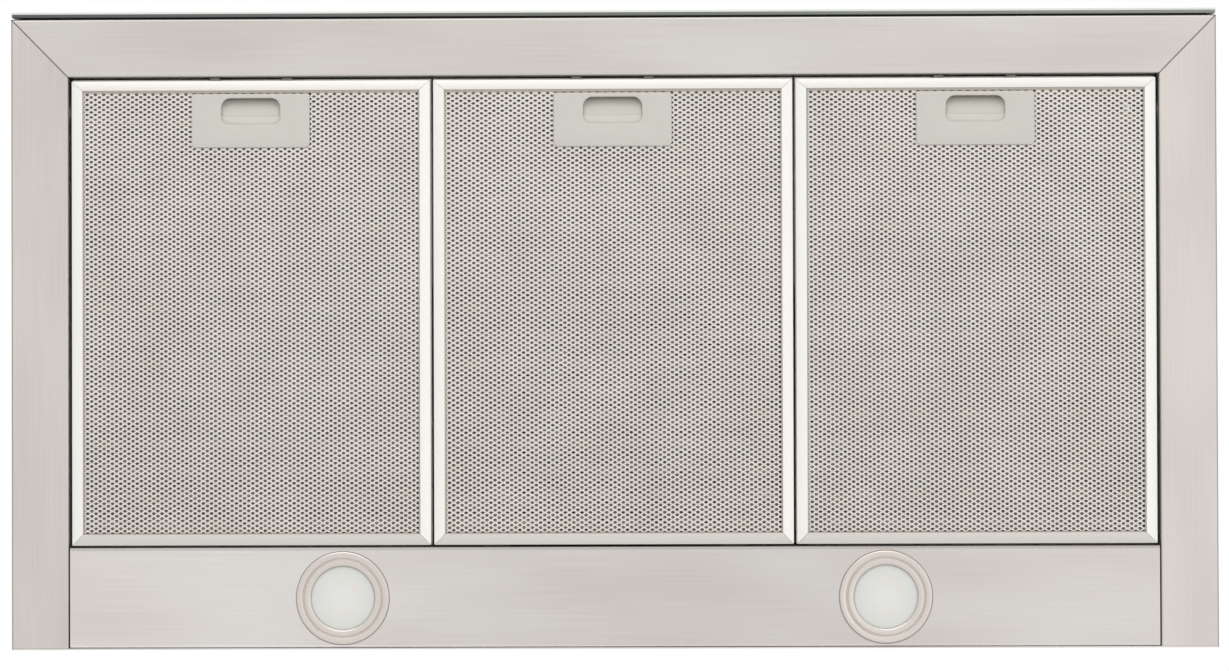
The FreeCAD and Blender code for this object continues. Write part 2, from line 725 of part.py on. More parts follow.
def make_led_board():
    """An octagonal board against the can's ceiling, with six LEDs facing down."""
    corners = []
    for i in range(8):
        angle = math.radians(45 * i + 22.5)
        corners.append(Vector(LED_BOARD_RADIUS * math.cos(angle),
                              -LAMP_FROM_WALL + LED_BOARD_RADIUS * math.sin(angle), BOARD_RISE))
    pieces = [prism(corners, Vector(0, 0, LED_BOARD_THICKNESS))]
    for i in range(LEDS):
        angle = math.radians(360 / LEDS * i + LED_TURN)
        x = LED_CIRCLE_RADIUS * math.cos(angle)
        y = -LAMP_FROM_WALL + LED_CIRCLE_RADIUS * math.sin(angle)
        s = LED_SIZE / 2
        pieces.append(box(x - s, x + s, y - s, y + s, BOARD_RISE - LED_SIZE / 4, BOARD_RISE))
    return fuse(pieces)


def make_clips():
    """Two spring clips on the can that press the panel against the bezel from behind."""
    clips = []
    for side in (-1, 1):
        foot = CAN_RADIUS + CLIP_REACH
        path = [(CAN_RADIUS - CLIP_ROOT, CLIP_RISE), (CAN_RADIUS, CLIP_RISE), (foot, SHEET),
                (foot + CLIP_TOE, SHEET + CLIP_TOE)]
        y0 = -LAMP_FROM_WALL - CLIP_WIDTH / 2
        corners = [Vector(side * x, y0, z) for x, z in path]
        corners += [Vector(side * x, y0, z + 1.5 * CLIP_SHEET) for x, z in reversed(path)]
        clip = prism(corners, Vector(0, CLIP_WIDTH, 0))
        can = cylinder(CAN_RADIUS, Vector(0, -LAMP_FROM_WALL, 0),
                       Vector(0, -LAMP_FROM_WALL, 2 * CLIP_RISE))
        clips.append(clip.cut(can))
    return clips


# ---- blower box ----
def make_blower_box():
    """A galvanised box open below, with a flange that stands on the top plate."""
    half = BOX_WIDTH / 2
    t = BOX_SHEET
    z0 = CANOPY_HEIGHT
    shell = box(-half, half, -BOX_DEPTH, 0, z0, box_roof)
    flange = box(-half - BOX_FLANGE, half + BOX_FLANGE, -BOX_DEPTH - BOX_FLANGE, 0, z0, z0 + t)
    hollow = box(-half + t, half - t, -BOX_DEPTH + t, -t, z0 - PAST, box_roof - t)
    cuts = [hollow]
    outlet = Vector(0, collar_y, box_roof - t - PAST)
    above = outlet.add(Vector(0, 0, t + 2 * PAST))
    cuts.append(cylinder(COLLAR_RADIUS - COLLAR_WALL, outlet, above))
    for x in (-WALL_SCREWS_X / 2, WALL_SCREWS_X / 2):
        for z in (screw_rise - WALL_SCREWS_Z / 2, screw_rise + WALL_SCREWS_Z / 2):
            cuts.append(cylinder(WALL_SCREW_HOLE, Vector(x, -t - PAST, z), Vector(x, PAST, z)))
    cuts += [screw_hole(s, Vector(0, 0, -1)) for s in blower_screw_seats() + collar_screw_seats()]
    return fuse([shell, flange]).cut(cuts)


# ---- scroll ----
def scroll_face(grow):
    """The scroll's side view: three quarter arcs that widen by one step each, drawn from the
    corners of a square round the shaft, then a straight outlet upwards."""
    s = SCROLL_STEP
    radii = [scroll_radius + i * s + grow for i in range(3)]
    a = (fan_y + s / 2, fan_z - s / 2)
    b = (a[0] - s, a[1])
    c = (b[0], b[1] + s)
    nose_y = a[0] + scroll_radius * math.cos(math.radians(TONGUE_ANGLE)) + grow
    nose_z = a[1] + math.sqrt(radii[0] ** 2 - (nose_y - a[0]) ** 2)

    def on(centre, radius, degrees):
        angle = math.radians(degrees)
        return Vector(0, centre[0] + radius * math.cos(angle), centre[1] + radius * math.sin(angle))

    nose = Vector(0, nose_y, nose_z)
    start = math.degrees(math.atan2(nose_z - a[1], nose_y - a[0]))
    arcs = [(a, radii[0], start, 0), (b, radii[1], 0, -90), (c, radii[2], -90, -180)]
    edges = []
    for centre, radius, d0, d1 in arcs:
        edges.append(Part.Arc(on(centre, radius, d0), on(centre, radius, (d0 + d1) / 2),
                              on(centre, radius, d1)).toShape())
    front = c[0] - radii[2]
    edges.append(Part.makeLine(Vector(0, front, c[1]), Vector(0, front, scroll_top)))
    edges.append(Part.makeLine(Vector(0, front, scroll_top), Vector(0, nose_y, scroll_top)))
    edges.append(Part.makeLine(Vector(0, nose_y, scroll_top), nose))
    return Part.Face(Part.Wire(edges)), nose, front


def make_scroll_half():
    """The right half of the scroll, with its inlet bell and its share of the outlet rim."""
    outer, nose, front = scroll_face(SCROLL_WALL)
    inner, inner_nose, _ = scroll_face(0)
    shell = outer.extrude(Vector(scroll_outside, 0, 0))
    rim = box(0, scroll_outside + OUTLET_RIM, front - OUTLET_RIM, nose.y + OUTLET_RIM,
              scroll_top - OUTLET_RIM_THICKNESS, scroll_top)
    centre = Vector(0, fan_y, fan_z)
    bell_top = INLET_RADIUS + BELL_FLARE + BELL_RIM
    bell_root = centre.add(Vector(scroll_inside, 0, 0))
    bell = Part.makeCylinder(bell_top, BELL_DEPTH, bell_root, Vector(1, 0, 0))
    body = fuse([shell, rim, bell])
    air = inner.extrude(Vector(scroll_inside, 0, 0))
    edge = [e for e in air.Edges if e.BoundBox.XLength > SCROLL_WALL
            and abs(e.Vertexes[0].Y - inner_nose.y) < SEAM
            and abs(e.Vertexes[0].Z - inner_nose.z) < SEAM]
    air = air.makeFillet(TONGUE_NOSE, edge)
    throat = Part.makeCone(INLET_RADIUS, INLET_RADIUS + BELL_FLARE, BELL_DEPTH, bell_root,
                           Vector(1, 0, 0))
    cuts = [air, throat] + [screw_hole(s, Vector(0, 0, -1)) for s in collar_screw_seats()]
    cuts += [screw_hole(s, d) for s, d in bracket_screw_seats()]
    return body.cut(cuts)


# ---- impeller, shaft and motor ----
def make_impeller():
    """A double-inlet wheel: centre disc, two crowns of forward-curved blades, two end rings.

    Disc and rings have two flats for each blade, and each blade is a strip bent once.
    """
    def wheel(radius, x0, x1):
        sides = 2 * FAN_BLADES
        corners = []
        for i in range(sides):
            angle = 2 * math.pi * i / sides
            corners.append(Vector(x0, fan_y + radius * math.cos(angle),
                                  fan_z + radius * math.sin(angle)))
        return prism(corners, Vector(x1 - x0, 0, 0))

    along = Vector(1, 0, 0)
    hub_start = Vector(-HUB_BEHIND, fan_y, fan_z)
    hub = Part.makeCylinder(HUB_RADIUS, HUB_BEHIND + HUB_AHEAD, hub_start, along)
    pieces = [wheel(FAN_RADIUS, -FAN_DISC / 2, FAN_DISC / 2), hub]
    for side in (-1, 1):
        x0, x1 = sorted((side * FAN_HALF_WIDTH, side * (FAN_HALF_WIDTH - FAN_RING_DEPTH)))
        hole = wheel(FAN_RADIUS - FAN_RING_WALL, x0, x1)
        pieces.append(wheel(FAN_RADIUS, x0, x1).cut(hole))
    reach = FAN_HALF_WIDTH - FAN_RING_DEPTH / 2
    middle = (BLADE_INNER_RADIUS + BLADE_OUTER_RADIUS) / 2
    t = BLADE_THICKNESS
    section = [(BLADE_INNER_RADIUS, 0), (middle, BLADE_BOW), (BLADE_OUTER_RADIUS, BLADE_LEAN)]
    section += [(radius, shift + t) for radius, shift in reversed(section)]
    for i in range(FAN_BLADES):
        angle = 2 * math.pi * i / FAN_BLADES
        out = (math.cos(angle), math.sin(angle))
        corners = [Vector(-reach, fan_y + radius * out[0] - shift * out[1],
                          fan_z + radius * out[1] + shift * out[0]) for radius, shift in section]
        pieces.append(prism(corners, Vector(2 * reach, 0, 0)))
    bore = Part.makeCylinder(SHAFT_RADIUS, HUB_BEHIND + HUB_AHEAD, hub_start, along)
    return fuse(pieces).cut(bore)


def make_shaft():
    centre = Vector(-HUB_BEHIND - SHAFT_END, fan_y, fan_z)
    return Part.makeCylinder(SHAFT_RADIUS, motor_end - SHAFT_SHORT - centre.x, centre, Vector(1, 0, 0))


def make_motor():
    """A round motor that sits in the impeller's right eye, with a boss at each end."""
    start = Vector(MOTOR_FROM_DISC, fan_y, fan_z)
    along = Vector(1, 0, 0)
    length = motor_end - MOTOR_FROM_DISC
    body = Part.makeCylinder(MOTOR_RADIUS, length - MOTOR_BOSS,
                             start.add(Vector(MOTOR_BOSS, 0, 0)), along)
    boss = Part.makeCylinder(MOTOR_BOSS_RADIUS, MOTOR_BOSS + PAST, start, along)
    bore = Part.makeCylinder(SHAFT_RADIUS + BORE_CLEARANCE, length, start, along)
    return fuse([body, boss]).cut(bore)


def bracket_arm_angles():
    return [90 + 360 / BRACKET_ARMS * i for i in range(BRACKET_ARMS)]


def bracket_screw_seats():
    """Screws through the bracket's feet into the scroll's right side."""
    seats = []
    for degrees in bracket_arm_angles():
        angle = math.radians(degrees)
        radius = INLET_RADIUS + BELL_FLARE + BELL_RIM + BRACKET_REACH / 2
        seats.append((Vector(motor_end + BRACKET_SHEET, fan_y + radius * math.cos(angle),
                             fan_z + radius * math.sin(angle)), Vector(-1, 0, 0)))
    return seats


def make_bracket():
    """A hub plate on the motor's end with three arms whose feet stand on the scroll."""
    x0, x1 = motor_end, motor_end + BRACKET_SHEET
    centre = Vector(x0, fan_y, fan_z)
    along = Vector(1, 0, 0)
    hub = Part.makeCylinder(BRACKET_HUB, BRACKET_SHEET, centre, along)
    reach = INLET_RADIUS + BELL_FLARE + BELL_RIM + BRACKET_REACH
    foot = BRACKET_REACH - SEAM
    pieces = [hub]
    for degrees in bracket_arm_angles():
        turn = FreeCAD.Rotation(along, degrees)
        place = FreeCAD.Placement(Vector(0, fan_y, fan_z), turn)
        arm = box(x0, x1, 0, reach, -BRACKET_ARM / 2, BRACKET_ARM / 2)
        feet = box(scroll_outside, x1, reach - foot, reach, -BRACKET_ARM / 2, BRACKET_ARM / 2)
        for piece in (arm, feet):
            piece.Placement = place.multiply(piece.Placement)
            pieces.append(piece)
    bore = Part.makeCylinder(MOTOR_BOSS_RADIUS, BRACKET_SHEET, centre, along)
    holes = [screw_hole(s, d) for s, d in bracket_screw_seats()]
    return fuse(pieces).cut([bore] + holes)


def make_capacitor():
    """The run capacitor on the blower box's left wall, with an ear for its screw."""
    wall = -BOX_WIDTH / 2 + BOX_SHEET
    depth, width, height = CAPACITOR
    y0 = -BOX_DEPTH / 2 - width / 2
    z0 = CANOPY_HEIGHT + CAPACITOR_RISE
    case = box(wall, wall + depth, y0, y0 + width, z0, z0 + height)
    far_edges = [e for e in case.Edges if e.BoundBox.XMin > wall + depth - SEAM]
    case = case.makeFillet(CAPACITOR_EDGE, far_edges)
    ear_sheet, ear_reach, ear_height = CAPACITOR_EAR
    ear_z = z0 + (height - ear_height) / 2
    ear = box(wall, wall + ear_sheet, y0 + width, y0 + width + ear_reach, ear_z, ear_z + ear_height)
    return fuse([case, ear])


# ---- duct collar and damper ----
def make_collar():
    """A spigot on a square base, with holes for the damper pin and four stop lugs."""
    half = COLLAR_BASE / 2
    inside = COLLAR_RADIUS - COLLAR_WALL
    base_top = box_roof + COLLAR_BASE_THICKNESS
    corner = (COLLAR_BASE_CORNER, COLLAR_BASE_CORNER)
    base = rounded_plate(-half, half, collar_y - half, collar_y + half, box_roof, base_top, corner)
    foot = Vector(0, collar_y, box_roof)
    spigot = Part.makeCylinder(COLLAR_RADIUS, COLLAR_HEIGHT, foot)
    bore = Part.makeCylinder(inside, COLLAR_HEIGHT, foot)
    body = fuse([base, spigot]).cut(bore)
    lug_top = pin_z - FLAP_SHEET / 2 - STOP_CLEARANCE
    lugs = []
    for degrees in (45, 135, 225, 315):
        lug = box(inside - STOP_LUG, inside + COLLAR_WALL / 2, -STOP_LUG / 2, STOP_LUG / 2,
                  lug_top - STOP_LUG, lug_top)
        lug.Placement = FreeCAD.Placement(Vector(0, collar_y, 0),
                                          FreeCAD.Rotation(Vector(0, 0, 1), degrees))
        lugs.append(lug)
    pin = cylinder(PIN_RADIUS, Vector(-COLLAR_RADIUS - PAST, collar_y, pin_z),
                   Vector(COLLAR_RADIUS + PAST, collar_y, pin_z))
    holes = [screw_hole(s, Vector(0, 0, -1)) for s in collar_screw_seats()]
    return fuse([body] + lugs).cut([pin] + holes)


def make_damper_pin():
    reach = COLLAR_RADIUS - COLLAR_WALL / 2
    return cylinder(PIN_RADIUS, Vector(-reach, collar_y, pin_z), Vector(reach, collar_y, pin_z))


def make_flap(side):
    """One half of the damper: side -1 is the front flap, side 1 the rear flap."""
    radius = COLLAR_RADIUS - COLLAR_WALL - FLAP_CLEARANCE
    root = KNUCKLE_RADIUS + KNUCKLE_CLEARANCE
    z0 = pin_z - FLAP_SHEET / 2
    disc = Part.makeCylinder(radius, FLAP_SHEET, Vector(0, collar_y, z0))
    half = box(-radius, radius, *sorted((collar_y + side * root, collar_y + side * radius)),
               z0, z0 + FLAP_SHEET)
    pieces = [disc.common(half)]
    for i in (-1.5, 0.5):
        middle = i * KNUCKLE_PITCH * -side
        x0, x1 = middle - KNUCKLE_LENGTH / 2, middle + KNUCKLE_LENGTH / 2
        pieces.append(cylinder(KNUCKLE_RADIUS, Vector(x0, collar_y, pin_z),
                               Vector(x1, collar_y, pin_z)))
        pieces.append(box(x0, x1, *sorted((collar_y, collar_y + side * (root + PAST))), z0,
                          z0 + FLAP_SHEET))
    bore = cylinder(PIN_RADIUS + PIN_CLEARANCE, Vector(-radius, collar_y, pin_z),
                    Vector(radius, collar_y, pin_z))
    return fuse(pieces).cut(bore)


# ---- electrics ----
def control_box_corner():
    return BOX_WIDTH / 2 + CONTROL_BOX_FROM_BLOWER, -CONTROL_BOX_FROM_WALL - CONTROL_BOX[1]


def gland_centre():
    x0, y0 = control_box_corner()
    return Vector(x0 + CONTROL_BOX[0], y0 + CONTROL_BOX[1] / 2, CANOPY_HEIGHT + CONTROL_BOX[2] / 2)


def make_control_box():
    """A moulded box open below, closed by the top plate, with a hole for the mains gland."""
    x0, y0 = control_box_corner()
    width, depth, height = CONTROL_BOX
    w = CONTROL_BOX_WALL
    z0 = CANOPY_HEIGHT
    shell = box(x0, x0 + width, y0, y0 + depth, z0, z0 + height)
    hollow = box(x0 + w, x0 + width - w, y0 + w, y0 + depth - w, z0 - PAST, z0 + height - w)
    centre = gland_centre()
    hole = cylinder(GLAND_RADIUS, centre.sub(Vector(w + PAST, 0, 0)), centre.add(Vector(PAST, 0, 0)))
    return shell.cut([hollow, hole])


def make_control_board():
    """The board on four feet, with relay, transformer and terminal blocks."""
    x0, y0 = control_box_corner()
    margin = CONTROL_BOX_WALL + CONTROL_BOARD_MARGIN
    x0, x1 = x0 + margin, x0 + CONTROL_BOX[0] - margin
    y0, y1 = y0 + margin, y0 + CONTROL_BOX[1] - margin
    low = CANOPY_HEIGHT + STANDOFF
    pieces = [box(x0, x1, y0, y1, low, low + PCB)]
    foot = STANDOFF_HALF
    for x in (x0 + foot, x1 - foot):
        for y in (y0 + foot, y1 - foot):
            pieces.append(box(x - foot, x + foot, y - foot, y + foot, CANOPY_HEIGHT, low))
    top = low + PCB
    for dx, dy, w, d, h in BOARD_PARTS:
        pieces.append(box(x0 + dx, x0 + dx + w, y0 + dy, y0 + dy + d, top, top + h))
    return fuse(pieces)


def make_led_driver():
    """A sealed driver with a screw ear at each end."""
    width, depth, height = LED_DRIVER
    x1 = -BOX_WIDTH / 2 - CONTROL_BOX_FROM_BLOWER
    x0 = x1 - width
    y0 = -CONTROL_BOX_FROM_WALL - depth
    z0 = CANOPY_HEIGHT
    case = box(x0, x1, y0, y0 + depth, z0, z0 + height)
    top_edges = [e for e in case.Edges if e.BoundBox.ZMin > z0 + height - SEAM]
    case = case.makeFillet(DRIVER_EDGE, top_edges)
    reach, thickness = DRIVER_EAR
    ears = box(x0 - reach, x1 + reach, y0 + depth / 4, y0 + 3 * depth / 4, z0, z0 + thickness)
    return fuse([case, ears])


def make_gland():
    """The mains gland: a hexagon and a dome outside the box, a thread through its wall."""
    centre = gland_centre()
    radius = GLAND_HEX / math.sqrt(3)
    corners = []
    for i in range(6):
        angle = math.radians(60 * i)
        corners.append(centre.add(Vector(0, radius * math.cos(angle), radius * math.sin(angle))))
    nut = prism(corners, Vector(GLAND_HEAD, 0, 0))
    inside = centre.sub(Vector(CONTROL_BOX_WALL + GLAND_TAIL, 0, 0))
    sleeve = cylinder(GLAND_RADIUS, inside, centre.add(Vector(GLAND_LENGTH, 0, 0)))
    bore = cylinder(GLAND_BORE, inside, centre.add(Vector(GLAND_LENGTH, 0, 0)))
    return fuse([nut, sleeve]).cut(bore)


# ---- assembly ----
def build():
    save("front_rail", make_front_rail())
    side = make_side_rail()
    save("side_rail_left", side)
    save("side_rail_right", mirror_x(side))
    save("rear_wall", make_rear_wall())
    save("top_plate", make_top_plate())
    save("glass_fascia", make_glass())
    save("fascia_tape", make_tape())
    save("touch_board", make_touch_board())
    save("light_panel", make_light_panel())
    lamp_pieces = {"bezels": [make_bezel()], "lenses": [make_lens()], "cans": [make_can()],
                   "led_boards": [make_led_board()], "clips": make_clips()}
    for piece, shapes in lamp_pieces.items():
        placed = [shape.translated(Vector(x, 0, 0)) for x in (-lamp_x, lamp_x) for shape in shapes]
        save(f"lamp_{piece}", Part.makeCompound(placed))
    for index, name in enumerate(("left", "middle", "right")):
        pieces = {"frame": make_filter_frame(), "mesh_front": make_mesh_front(),
                  "mesh_core": make_mesh_core(), "latch_plate": make_latch_plate(),
                  "latch_pan": make_latch_pan(), "latch_slider": make_latch_slider(),
                  "latch_spring": make_latch_spring()}
        for piece, shape in pieces.items():
            save(f"filter_{name}_{piece}", shape.translated(Vector(filter_centre(index), 0, 0)))
    save("blower_box", make_blower_box())
    half = make_scroll_half()
    save("scroll_right", half)
    save("scroll_left", mirror_x(half))
    save("impeller", make_impeller())
    save("fan_shaft", make_shaft())
    save("motor", make_motor())
    save("motor_bracket", make_bracket())
    save("motor_capacitor", make_capacitor())
    save("duct_collar", make_collar())
    save("damper_pin", make_damper_pin())
    save("damper_flap_front", make_flap(-1))
    save("damper_flap_rear", make_flap(1))
    save("control_box", make_control_box())
    save("control_board", make_control_board())
    save("led_driver", make_led_driver())
    save("mains_gland", make_gland())
    down = Vector(0, 0, -1)
    seats = [(s, down) for s in body_screw_seats()] + panel_screw_seats()
    save("canopy_screws", Part.makeCompound([screw(s, d) for s, d in seats]))
    seats = [(s, down) for s in blower_screw_seats() + collar_screw_seats()]
    seats += bracket_screw_seats()
    save("blower_screws", Part.makeCompound([screw(s, d) for s, d in seats]))


build()
os.makedirs("parts", exist_ok=True)
for node, shape in nodes.items():
    solids = len(shape.Solids)
    shape.translated(Vector(0, 0, -screw_rise)).exportStep(f"parts/{node}.step")
    print(f"{node}: {solids} solid(s), {shape.Volume:.1f} mm3, valid {shape.isValid()}")
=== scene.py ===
"""A 900 mm range hood insert seen from below, dressed for Blender 4.5.

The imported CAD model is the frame. New pieces are surfaces worked out with numpy in millimetres of
the drawing, where z = 0 is the canopy's underside, y = 0 the wall and x = 0 the middle; one
function turns them into metres of the frame. Plain CAD nodes only get materials.
"""
import math

import bmesh
import bpy
import numpy as np
from mathutils import Matrix, Vector


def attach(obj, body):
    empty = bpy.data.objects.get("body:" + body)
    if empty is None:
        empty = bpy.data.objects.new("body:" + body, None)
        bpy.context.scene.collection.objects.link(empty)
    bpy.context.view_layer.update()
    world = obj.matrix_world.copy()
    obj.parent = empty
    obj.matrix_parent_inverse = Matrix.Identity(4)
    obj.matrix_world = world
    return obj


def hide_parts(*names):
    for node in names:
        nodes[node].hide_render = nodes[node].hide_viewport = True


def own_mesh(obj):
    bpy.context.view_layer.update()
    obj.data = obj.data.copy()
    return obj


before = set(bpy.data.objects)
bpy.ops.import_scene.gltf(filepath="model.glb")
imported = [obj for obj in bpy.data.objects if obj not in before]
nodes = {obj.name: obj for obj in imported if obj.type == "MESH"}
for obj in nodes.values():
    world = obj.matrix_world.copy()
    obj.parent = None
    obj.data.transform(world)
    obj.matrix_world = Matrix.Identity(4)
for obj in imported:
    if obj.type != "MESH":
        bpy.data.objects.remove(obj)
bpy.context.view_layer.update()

# ---- sizes that the pieces share, mm ----
SCREW_RISE = 187.0
HALF_WIDTH = 449.0
GLASS_FRONT = -475.2
GLASS_BACK = -471.2
PLATE_UNDER = 61.0
FILTER_HALF = 133.75
FILTER_FRONT = -423.7
FILTER_REAR = -77.4
FILTER_CENTRES = {"left": -269.9, "middle": 0.0, "right": 269.9}
SIDE_FACE, SIDE_LIP = 8.0, 1.2
FRONT_FACE, FRONT_LIP = 7.2, 1.9
REAR_FACE, REAR_LIP = 8.1, 0.8
PLATE_FRONT = -413.9
PLATE_REAR = -373.9
PLATE_HALF = 44.0
LAMP_X = 202.0
LAMP_Y = -38.0
RAIL_FRONT = -470.2
RAIL_INNER_X, RAIL_INNER_Y = 406.0, -426.4
PANEL_FRONT = -76.1
POCKET_FRONT, POCKET_LENGTH = -411.1, 14.0


# ================================ materials ================================
def linear(code):
    """An sRGB hex colour as linear red, green, blue and a full alpha."""
    parts = [int(code[i:i + 2], 16) / 255 for i in (1, 3, 5)]
    return [c / 12.92 if c <= 0.04045 else ((c + 0.055) / 1.055) ** 2.4 for c in parts] + [1.0]


def add(tree, kind, links=(), **settings):
    """Adds a node. Settings name its properties or its inputs; links gives sockets, or plain
    values, for inputs by name or number."""
    made = tree.nodes.new("ShaderNode" + kind)
    for name, value in settings.items():
        if hasattr(made, name):
            setattr(made, name, value)
        else:
            made.inputs[name.replace("_", " ")].default_value = value
    for name, value in dict(links).items():
        if isinstance(value, bpy.types.NodeSocket):
            tree.links.new(value, made.inputs[name])
        else:
            made.inputs[name].default_value = value
    return made


def material(name, **shader):
    """A material with one Principled shader; colours may be given as hex."""
    made = bpy.data.materials.new(name)
    made.use_nodes = True
    tree = made.node_tree
    body = tree.nodes["Principled BSDF"]
    for key, value in shader.items():
        socket = body.inputs[key.replace("_", " ")]
        socket.default_value = linear(value) if isinstance(value, str) else value
    where = add(tree, "TexCoord").outputs["Object"]
    return made, tree, body, where


def pattern(tree, where, size_mm, stretch=(1, 1, 1), detail=2.0, rough=0.5):
    """Noise whose features are size_mm across, drawn longer along each axis by stretch."""
    scale = [1000 / (size_mm * s) for s in stretch]
    placed = add(tree, "Mapping", {"Vector": where}, Scale=scale)
    return add(tree, "TexNoise", {"Vector": placed.outputs["Vector"]}, Scale=1.0, Detail=detail,
               Roughness=rough).outputs["Fac"]


def roughened(tree, body, factor, low, high, start=0.3, end=0.7):
    """The shader's roughness goes from low to high as factor goes from start to end."""
    rough = add(tree, "MapRange", {"Value": factor}, From_Min=start, From_Max=end, To_Min=low,
                To_Max=high)
    tree.links.new(rough.outputs["Result"], body.inputs["Roughness"])


def tinted(tree, body, factor, first, second, start=0.3, end=0.7):
    """The shader's colour goes from first to second as factor goes from start to end."""
    mixed = add(tree, "ValToRGB", {"Fac": factor})
    mixed.color_ramp.elements[0].position = start
    mixed.color_ramp.elements[1].position = end
    mixed.color_ramp.elements[0].color = linear(first)
    mixed.color_ramp.elements[1].color = linear(second)
    tree.links.new(mixed.outputs["Color"], body.inputs["Base Color"])
    return mixed.outputs["Color"]


def relief(tree, body, height, depth_mm, strength=0.5):
    """A bump whose full height is depth_mm."""
    bump = add(tree, "Bump", {"Height": height}, Strength=strength, Distance=depth_mm / 1000)
    tree.links.new(bump.outputs["Normal"], body.inputs["Normal"])


def near(tree, number, place_mm, reach_mm):
    """1 where number, in metres, is at place_mm, falling to 0 at reach_mm from it."""
    gap = add(tree, "Math", {0: number, 1: place_mm / 1000}, operation="SUBTRACT").outputs[0]
    gap = add(tree, "Math", {0: gap}, operation="ABSOLUTE").outputs[0]
    fall = add(tree, "MapRange", {"Value": gap}, From_Min=reach_mm / 4000,
               From_Max=reach_mm / 1000, To_Min=1.0, To_Max=0.0)
    return fall.outputs["Result"]


def brushed_stainless(name, along, first, second, painted_light_bands=()):
    """Stainless steel 1.4301, belt-brushed: fine broken lines along one axis, and faint clouds
    where the belt pressed harder. Lines are drawn 0.9 mm wide, as coarse as a pixel. Each band
    multiplies the colour: below 1 it is painted shade, at the folds and along the mitre seams,
    and above 1 it is painted light. The bands give the axis, the place and how far the painted
    light or shade reaches in mm, and how dark it is."""
    made, tree, body, where = material(name, Metallic=1.0, Roughness=0.34)
    lines = pattern(tree, where, 0.9, [90 if axis == along else 1 for axis in "xyz"], detail=3)
    clouds = pattern(tree, where, 60, [3 if axis == along else 1 for axis in "xyz"], detail=1)
    both = add(tree, "Mix", {"A": lines, "B": clouds}, Factor=0.62).outputs["Result"]
    colour = tinted(tree, body, both, first, second, 0.36, 0.64)
    mirrored = add(tree, "VectorMath", {0: where}, operation="ABSOLUTE").outputs["Vector"]
    split = add(tree, "SeparateXYZ", {"Vector": mirrored})
    signed = add(tree, "SeparateXYZ", {"Vector": where})
    across = add(tree, "VectorMath", {0: mirrored, 1: MITRE_NORMAL}, operation="DOT_PRODUCT")
    split = {"x": split.outputs["X"], "y": split.outputs["Y"], "mitre": across.outputs["Value"],
             "signed x": signed.outputs["X"]}
    # Painted shade and painted light: each band multiplies the colour near a fold, a mitre seam or
    # an edge.
    for axis, place, reach, dark in painted_light_bands:
        painted_light_mix = {0: near(tree, split[axis], place, reach), 6: colour,
                7: (dark, dark ** 1.04, dark ** 1.08, 1)}
        colour = add(tree, "Mix", painted_light_mix, data_type="RGBA", blend_type="MULTIPLY").outputs[2]
    tree.links.new(colour, body.inputs["Base Color"])
    roughened(tree, body, lines, 0.28, 0.42)
    relief(tree, body, lines, 0.03, 0.25)
    return made


def galvanised_sheet():
    """Hot-dip galvanised steel: dull zinc grey. Its crystals are cells of a bent Voronoi pattern,
    drawn 8 mm across, a little coarser than real, so that they show at the photograph's scale."""
    made, tree, body, where = material("galvanised_zinc_spangle", Metallic=0.85, Roughness=0.45)
    bent = add(tree, "TexNoise", {"Vector": where}, Scale=1000 / 6, Detail=2.0).outputs["Color"]
    moved = add(tree, "VectorMath", {0: bent, 1: [0.003] * 3, 2: where}, operation="MULTIPLY_ADD")
    cells = add(tree, "TexVoronoi", {"Vector": moved.outputs[0]}, Scale=1000 / 8, Randomness=1.0)
    grey = add(tree, "RGBToBW", {"Color": cells.outputs["Color"]}).outputs["Val"]
    tinted(tree, body, grey, "#ADB1B3", "#C9CCCD", 0.1, 0.9)
    roughened(tree, body, grey, 0.32, 0.56, 0.2, 0.8)
    return made


def anodised_aluminium():
    """Aluminium 6060, etched and satin anodised: nearly white, no direction, soft shine. The mesh's
    tone attribute paints shade: each bar is lighter or darker as it faces the light, and the
    inner lip and the tabs, which lie in shade, are beige to dark brown."""
    made, tree, body, where = material("satin_anodised_aluminium", Metallic=0.55, Roughness=0.42)
    grain = pattern(tree, where, 0.9, (1, 1, 1), detail=4)
    # Painted shade: the tone attribute sets how light each bar, its lip and the tabs are.
    tone = add(tree, "Attribute", attribute_name="tone").outputs["Fac"]
    speck = add(tree, "Math", {0: grain, 1: 0.06, 2: tone}, operation="MULTIPLY_ADD")
    shade = add(tree, "ValToRGB", {"Fac": speck.outputs[0]})
    stops = shade.color_ramp.elements
    for place, code in ((0.0, "#59544F"), (0.14, "#B2ABA1"), (0.42, "#D9D6D1"), (1.0, "#F8F7F4")):
        stop = stops.new(place) if 0 < place < 1 else stops[0 if place == 0 else -1]
        stop.color = linear(code)
    tree.links.new(shade.outputs["Color"], body.inputs["Base Color"])
    relief(tree, body, grain, 0.02, 0.2)
    return made


def expanded_foil(name, first, second):
    """Aluminium foil, slit and stretched to mesh: bright rolled faces with a little grease haze."""
    made, tree, body, where = material(name, Metallic=0.6, Roughness=0.4)
    haze = pattern(tree, where, 45, detail=2)
    tinted(tree, body, haze, first, second)
    roughened(tree, body, pattern(tree, where, 4), 0.34, 0.48)
    return made


# Painted shade: the colour that a mesh's shade attribute multiplies in.
POCKET_SHADE_COLOUR = (0.42, 0.4, 0.37, 1)


def moulded_plastic(name, first, second, rough=0.5, grain_mm=0.6, painted_shade=False):
    """ABS or PC/ABS, injection moulded in a spark-eroded tool: even colour, fine matt grain. An
    optional vertex attribute darkens the colour where it is set: painted shade in corners."""
    made, tree, body, where = material(name, Roughness=rough, IOR=1.52)
    grain = pattern(tree, where, grain_mm, detail=3)
    colour = tinted(tree, body, grain, first, second)
    # Painted shade: the attribute multiplies the colour towards a dark warm grey.
    if painted_shade:
        shade_weight = add(tree, "Attribute", attribute_name="painted_shade").outputs["Fac"]
        shaded_colour = add(tree, "Mix", {0: shade_weight, 6: colour, 7: POCKET_SHADE_COLOUR}, data_type="RGBA",
                    blend_type="MULTIPLY")
        tree.links.new(shaded_colour.outputs[2], body.inputs["Base Color"])
    roughened(tree, body, grain, rough - 0.06, rough + 0.08)
    relief(tree, body, grain, 0.03, 0.3)
    return made


